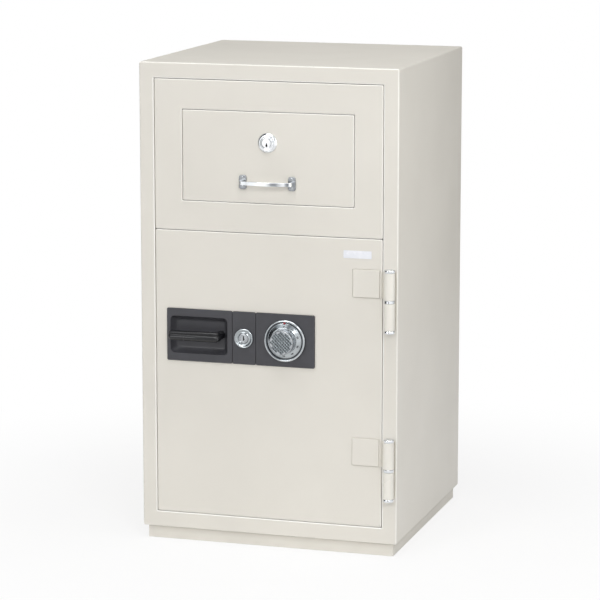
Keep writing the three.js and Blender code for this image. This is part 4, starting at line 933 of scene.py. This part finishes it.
# Bow handle: an arched strip between two feet, each held by two countersunk screws
def makeBowHandle():
    facts = {"strip": 8 * mm, "thick": 3.4 * mm, "leg": 5 * mm, "span": 104.5 * mm, "spread": 1 * mm,
             "sheet": 3 * mm, "shoulder": 15.5 * mm, "reach": 26 * mm, "edge": 0.9 * mm, "archFrom": 7 * mm,
             "archDrop": 1.8 * mm, "steps": 16, "footWidth": 16 * mm, "footHeight": 29 * mm,
             "footCorner": 5 * mm, "footEdge": 1.3 * mm, "screwUp": 9.6 * mm, "screwSunk": 0.35 * mm}
    high, middle = boxOf("bow_handle")[1:]
    base, leg, edge, sheet = high.y, facts["leg"], facts["edge"], facts["sheet"]
    half, shoulder = facts["span"] / 2, base - facts["shoulder"]
    # The strip's middle line seen from above, with its thickness: up a leg, over the arch, down a leg
    end = -half - facts["spread"]
    rise = [(end, base - sheet / 2, leg), (end, shoulder + 3 * mm, leg),
            (end + 0.1 * mm, shoulder + 1.2 * mm, leg), (end + 1 * mm, shoulder - 0.5 * mm, leg * 0.94),
            (end + 3 * mm, shoulder - 1.3 * mm, leg * 0.82)]
    crest = base - facts["reach"] + facts["thick"] / 2
    start, startY = half - facts["archFrom"], shoulder - facts["archDrop"]
    arch = []
    for n in range(facts["steps"] + 1):
        share = 2 * n / facts["steps"] - 1
        arch.append((start * share, crest + (startY - crest) * share ** 2, facts["thick"]))
    path = rise + arch + [(-x, y, width) for x, y, width in reversed(rise)]
    # Its section is a flat bar with rounded edges
    halfZ = facts["strip"] / 2
    loops = []
    for n, (px, py, width) in enumerate(path):
        before, after = path[max(n - 1, 0)], path[min(n + 1, len(path) - 1)]
        along = Vector((after[0] - before[0], after[1] - before[1])).normalized()
        loop = []
        for sideOut, sideUp, begin in ((1, 1, 0), (-1, 1, 90), (-1, -1, 180), (1, -1, 270)):
            for k in range(4):
                a = math.radians(begin + 30 * k)
                out = sideOut * (width / 2 - edge) + edge * math.cos(a)
                up = sideUp * (halfZ - edge) + edge * math.sin(a)
                loop.append(Vector((middle.x + px + along.y * out, py - along.x * out, middle.z + up)))
        loops.append(loop)
    bow = weighted(loft("bow_strip", loops, softChrome, angle=40))
    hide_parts("bow_handle")
    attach(bow, "drawer")

    footHalf = Vector((facts["footWidth"] / 2, 0, facts["footHeight"] / 2))
    for side, word in ((-1, "left"), (1, "right")):
        centre = Vector((middle.x + side * half, base, middle.z))
        low, high = centre - footHalf, centre + footHalf
        loops = []
        for inwards, back in rounding():
            inset = facts["footEdge"] * inwards
            loops.append(outline(low, high, base - sheet + facts["footEdge"] * back,
                                 facts["footCorner"] - inset * 0.8, inset, steps=5))
        loops.append(outline(low, high, base, facts["footCorner"], steps=5))
        foot = weighted(loft(f"bow_foot_{word}", loops, footChrome))
        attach(foot, "drawer")
    return [(middle.x + side * half, base - sheet - facts["screwSunk"], middle.z + up * facts["screwUp"])
            for side in (-1, 1) for up in (-1, 1)]


screwPlaces = makeBowHandle()


def makeScrews(places):
    facts = {"head": 2.7 * mm, "thick": 0.9 * mm, "slotHalf": 0.35 * mm, "slotReach": 0.7,
             "slotDepth": 0.45 * mm, "slotCorner": 0.2 * mm, "turn": 12}
    radius, half, reach = facts["head"], facts["slotHalf"], facts["head"] * facts["slotReach"]
    head = turned("screw_head", Vector((0, 0, 0)), [
        (0, facts["thick"]), (radius, facts["thick"]), (radius, 0.3 * mm), (radius * 0.85, 0.05 * mm),
        (radius * 0.5, 0), (0, 0)], satinChrome, count=32, angle=60)
    cutOut(head, [bar("cutter", (-a, a, -b, b), facts["slotCorner"], (-1 * mm, facts["slotDepth"]),
                      satinChrome) for a, b in ((half, reach), (reach, half))])
    screws = pieceFrom(copiesTree(), "handle_screws", {
        "Source": head, "Size": 1.0, "Turn": math.radians(facts["turn"]), "Material": satinChrome}, places)
    bpy.data.objects.remove(head)
    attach(screws, "drawer")


makeScrews(screwPlaces)
print("drawer's lock and handle made")


# Barrel hinges on an upright axis. Each end of a turned piece is a list of steps in mm, from the flat
# outwards: how far in from its radius and how far along its axis.
ends = {"knuckle": [(0.7, 0), (0.21, 0.21), (0, 0.7)], "washer": [(0.5, 0), (0, 0.5)],
        "joint": [(0.4, 0), (0, 0.4)], "dome": [(0.9, 0), (0.25, 0.25), (0, 0.8)]}


def turnedSide(radius, z0, z1, foot, head):
    return ([(radius - inwards * mm, z0 + along * mm) for inwards, along in ends[foot]]
            + [(radius - inwards * mm, z1 - along * mm) for inwards, along in reversed(ends[head])])


def makeHinge(word):
    facts = {"radius": 11 * mm, "bore": 5.3 * mm, "pin": 5 * mm, "pinHead": 6 * mm, "pinTip": 1 * mm,
             "weldHalf": 5 * mm, "weldIn": 1.4 * mm, "weldCorner": 0.5 * mm,
             "leaf": 3.6 * mm, "leafDeep": 2.5 * mm, "leafCorner": 0.8 * mm, "leafEdge": 0.6 * mm,
             "webShort": 3 * mm, "webLow": 0.2 * mm, "webThick": 0.3 * mm, "webCorner": 0.4 * mm,
             "coverCorner": 2.2 * mm, "coverEdge": 1.3 * mm}
    radius, bore = facts["radius"], facts["bore"]
    axis = boxOf(f"{word}_hinge_ring")[2]

    def tube(name, node, end, material):
        low, high, _ = boxOf(f"{word}_hinge_{node}")
        profile = [(bore, low.z), *turnedSide(radius, low.z, high.z, end, end), (bore, high.z)]
        piece = turned(f"{word}_{name}", axis, profile, material, 64, caps=False, angle=40, upright=True)
        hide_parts(f"{word}_hinge_{node}")
        return piece, low, high

    # The barrels take the paler enamel of painted highlight
    barrel, low, high = tube("frame_barrel", "frame_knuckle", "knuckle", barrelHighlightEnamel)
    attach(weighted(barrel), "cabinet")
    weld = weighted(bar(f"{word}_frame_weld", (axis.x - facts["weldHalf"], axis.x + facts["weldHalf"],
                                               low.z, high.z),
                        facts["weldCorner"], (axis.y + radius - facts["weldIn"], high.y), bodyEnamel))
    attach(weld, "cabinet")

    barrel, low, high = tube("door_barrel", "door_knuckle", "knuckle", barrelHighlightEnamel)
    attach(weighted(barrel), "door")
    leaf = weighted(loft(f"{word}_door_leaf", plateLoops(
        Vector((low.x, high.y - facts["leafDeep"], low.z)), Vector((low.x + facts["leaf"], high.y, high.z)),
        facts["leafCorner"], facts["leafEdge"]), bodyEnamel))
    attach(leaf, "door")
    web = weighted(bar(f"{word}_door_web", (low.x + facts["webShort"], axis.x - facts["webShort"],
                                            low.z + facts["webLow"], high.z - facts["webLow"]),
                       facts["webCorner"], (high.y - facts["webThick"], high.y), bodyEnamel))
    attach(web, "door")

    washer = tube("washer", "ring", "washer", brightChrome)[0]
    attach(washer, "cabinet")

    low, high, _ = boxOf(f"{word}_hinge_top_cap")
    crown = turned(f"{word}_crown", axis, [
        (0, low.z), *turnedSide(radius, low.z, high.z, "joint", "dome"), (0, high.z)],
        brightChrome, 64, angle=50, upright=True)
    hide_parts(f"{word}_hinge_top_cap")
    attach(crown, "door")

    low, high, _ = boxOf(f"{word}_hinge_pin")
    top, shank, tip = low.z + facts["pinHead"], facts["pin"], facts["pinTip"]
    pin = turned(f"{word}_pin", axis, [
        (0, low.z), *turnedSide(radius, low.z, top, "dome", "joint"), (shank, top), (shank, high.z - tip),
        (shank - tip, high.z), (0, high.z)], brightChrome, 64, angle=50, upright=True)
    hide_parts(f"{word}_hinge_pin")
    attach(pin, "cabinet")

    low, high, _ = boxOf(f"{word}_hinge_cover_plate")
    loops = plateLoops(low, high, facts["coverCorner"], facts["coverEdge"])
    cover = weighted(loft(f"{word}_cover_plate", loops, frontEnamel))
    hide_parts(f"{word}_hinge_cover_plate")
    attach(cover, "door")


makeHinge("upper")
makeHinge("lower")


def makeLabel():
    facts = {"corner": 1.4 * mm, "edge": 0.25 * mm}
    low, high, _ = boxOf("label_plate")
    plate = weighted(loft("blank_label", plateLoops(low, high, facts["corner"], facts["edge"]), labelFoil))
    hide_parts("label_plate")
    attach(plate, "door")


makeLabel()
print("hinges and label made")

# Finishes of the CAD pieces that are shown as they are
carried = {
    plinthEnamel: ["plinth"],
    linerEnamel: ["inner_liner", "divider", "door_back_cover"],
    mineralFilling: ["fire_filling", "door_filling"],
    brightChrome: ["lower_bolt", "middle_bolt", "upper_bolt"],
    turnedSteel: ["door_pan", "upper_fixed_bolt", "lower_fixed_bolt", "lever_spindle", "lever_crank",
                  "bolt_bar", "dial_spindle", "left_drawer_runner", "right_drawer_runner", "flap_pin",
                  "flap_spring"],
    zincPlate: ["throat_liner", "anti_fishing_baffle", "left_drawer_rail", "right_drawer_rail", "key_cam",
                "combination_lock_case", "drawer_box", "throat_shutter", "drawer_lock_arm", "drop_flap"],
    brassWheel: ["drive_cam", "combination_wheels"],
}
for material, names in carried.items():
    for name in names:
        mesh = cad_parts[name].data
        mesh.materials.clear()
        mesh.materials.append(material)
print("carried pieces finished")


# White studio sheet, matte paper. The camera sees it brighter than it is lit, so that it joins the
# white behind it, and it keeps a part of the object's shadow. Metal mirrors it as the camera sees it.
def floorMaterial():
    facts = {"colours": ("#f2f2f1", "#f5f5f4"), "shadowKept": 0.2, "fadeFrom": 0.35, "fadeTo": 1.3}
    paper = {"same": {"Roughness": 0.9, "Specular IOR Level": 0.1}, "patch": 300 * mm}
    material = surface("studio_sheet", paper, facts["colours"])
    tree = material.node_tree
    shader = tree.nodes["Principled BSDF"]
    point = addNode(tree, "ShaderNodeTexCoord").outputs["Object"]
    glow = addNode(tree, "ShaderNodeEmission", inputs={"Color": (1, 1, 1, 1), "Strength": 1.0})
    away = addNode(tree, "ShaderNodeVectorMath", {"operation": "LENGTH"}, {0: point})
    fade = addNode(tree, "ShaderNodeMapRange", {"interpolation_type": "SMOOTHSTEP"}, {
        "Value": away.outputs["Value"], "From Min": facts["fadeFrom"], "From Max": facts["fadeTo"],
        "To Min": 1 - facts["shadowKept"], "To Max": 1.0})
    seen = addNode(tree, "ShaderNodeMixShader", inputs={0: fade, 1: shader, 2: glow})
    rays = addNode(tree, "ShaderNodeLightPath")
    looked = addNode(tree, "ShaderNodeMath", {"operation": "MAXIMUM"}, {
        0: rays.outputs["Is Camera Ray"], 1: rays.outputs["Is Glossy Ray"]})
    mix = addNode(tree, "ShaderNodeMixShader", inputs={0: looked, 1: shader, 2: seen})
    setInputs(tree, tree.nodes["Material Output"], {"Surface": mix})
    return material


def makeFloor():
    facts = {"radius": 2.4, "below": 0.5 * mm, "sides": 96}
    bm = bmesh.new()
    bmesh.ops.create_circle(bm, cap_ends=True, segments=facts["sides"], radius=facts["radius"])
    for vertex in bm.verts:
        vertex.co.z = -facts["below"]
    mesh = bpy.data.meshes.new("floor")
    bm.to_mesh(mesh)
    bm.free()
    mesh.materials.append(floorMaterial())
    floor = bpy.data.objects.new("floor", mesh)
    scene.collection.objects.link(floor)


makeFloor()


# The studio round the object: even light for the paint, and for the metal a room of bright sheets with
# a dark side on the left and a dark gap in front. Heights run from the floor up. Sheets run from
# behind over the left, the front and the right.
def makeWorld():
    facts = {"strength": 0.48, "mirrored": 1.3,
             "even": [(0.0, "#9a9a9b"), (0.5, "#bdbdbe"), (1.0, "#e8e8ea")],
             "sheets": [(0.0, "#a3a098"), (0.1, "#acaaa4"), (0.255, "#b4b8bb"), (0.262, "#1b1e21"),
                        (0.352, "#1b1e21"), (0.366, "#f4f6f8"), (0.462, "#ffffff"), (0.484, "#7c8185"),
                        (0.503, "#7c8185"), (0.53, "#ffffff"), (0.66, "#ffffff"), (0.78, "#d5d8da"),
                        (0.92, "#acaaa4"), (1.0, "#a3a098")],
             "ceiling": [(0.0, "#ffffff"), (0.62, "#ffffff"), (0.7, "#8f9497"), (0.82, "#dfe2e4"),
                         (1.0, "#ffffff")]}
    world = bpy.data.worlds.new("studio")
    scene.world = world
    world.use_nodes = True
    tree = world.node_tree
    tree.nodes.clear()
    direction = addNode(tree, "ShaderNodeTexCoord").outputs["Generated"]
    split = addNode(tree, "ShaderNodeSeparateXYZ", inputs={"Vector": direction})
    height = addNode(tree, "ShaderNodeMapRange", inputs={
        "Value": split.outputs["Z"], "From Min": -1.0, "From Max": 1.0})
    forward = addNode(tree, "ShaderNodeMath", {"operation": "MULTIPLY"}, {0: split.outputs["Y"], 1: -1.0})
    turn = addNode(tree, "ShaderNodeMath", {"operation": "ARCTAN2"}, {0: split.outputs["X"], 1: forward})
    around = addNode(tree, "ShaderNodeMapRange", inputs={
        "Value": turn, "From Min": -math.pi, "From Max": math.pi})
    even, sheets, ceiling = (
        setStops(addNode(tree, "ShaderNodeValToRGB", inputs={"Fac": way}), facts[stops])
        for stops, way in (("even", height), ("sheets", around), ("ceiling", height)))
    room = addNode(tree, "ShaderNodeMix", {"data_type": "RGBA", "blend_type": "MULTIPLY"}, {
        0: 1.0, 6: sheets, 7: ceiling})
    light = addNode(tree, "ShaderNodeBackground", inputs={"Color": even, "Strength": facts["strength"]})
    mirrored = addNode(tree, "ShaderNodeBackground", inputs={
        "Color": room.outputs[2], "Strength": facts["mirrored"]})
    white = addNode(tree, "ShaderNodeBackground", inputs={"Color": (1, 1, 1, 1), "Strength": 1.0})
    rays = addNode(tree, "ShaderNodeLightPath")
    metal = addNode(tree, "ShaderNodeMixShader", inputs={
        0: rays.outputs["Is Glossy Ray"], 1: light, 2: mirrored})
    mix = addNode(tree, "ShaderNodeMixShader", inputs={
        0: rays.outputs["Is Camera Ray"], 1: metal, 2: white})
    addNode(tree, "ShaderNodeOutputWorld", inputs={"Surface": mix})


makeWorld()

# Lamps, in metres and watts. The key light stands in front on the right, so that edges there are bright
# and shadows fall to the left. The back light stays below the top, which would mirror it.
lamps = {
    "key_light": {"place": (2.43, -4.21, 3.08), "target": (0, 0, 0.5), "size": (1.4, 1.4), "watts": 59},
    "left_soft_light": {"place": (-1.75, -4.8, 2.45), "target": (0, 0, 0.5), "size": (1.8, 1.8),
                        "watts": 57},
    "right_strip_light": {"place": (1.0, -0.38, 1.0), "target": (0.27, -0.25, 0.95), "size": (0.3, 1.1),
                          "watts": 2.35},
    "back_soft_light": {"place": (-1.8, 3.8, 0.5), "target": (0, 0, 0.5), "size": (2.2, 0.9), "watts": 26},
    "top_light": {"place": (0.2, -1.2, 3.6), "target": (0, 0, 0.5), "size": (2.2, 2.2), "watts": 47},
}
for name, facts in lamps.items():
    data = bpy.data.lights.new(name, "AREA")
    data.shape = "RECTANGLE"
    data.size, data.size_y = facts["size"]
    data.energy = facts["watts"]
    lamp = bpy.data.objects.new(name, data)
    lamp.location = facts["place"]
    towards = Vector(facts["target"]) - Vector(facts["place"])
    lamp.rotation_euler = towards.to_track_quat("-Z", "Y").to_euler()
    scene.collection.objects.link(lamp)


# The camera stands where the photograph was taken from, worked out from the cabinet's corners
def makeCamera():
    facts = {"place": (1.6964, -5.5501, 1.5407), "yaw": 17.107, "pitch": 10.397, "lens": 165.88}
    data = bpy.data.cameras.new("camera")
    data.sensor_width = 36
    data.lens = facts["lens"]
    camera = bpy.data.objects.new("camera", data)
    camera.location = facts["place"]
    camera.rotation_euler = (math.radians(90 - facts["pitch"]), 0, math.radians(facts["yaw"]))
    scene.collection.objects.link(camera)
    scene.camera = camera


makeCamera()
scene.view_settings.view_transform = "Standard"
print("floor, studio, lamps and camera made")
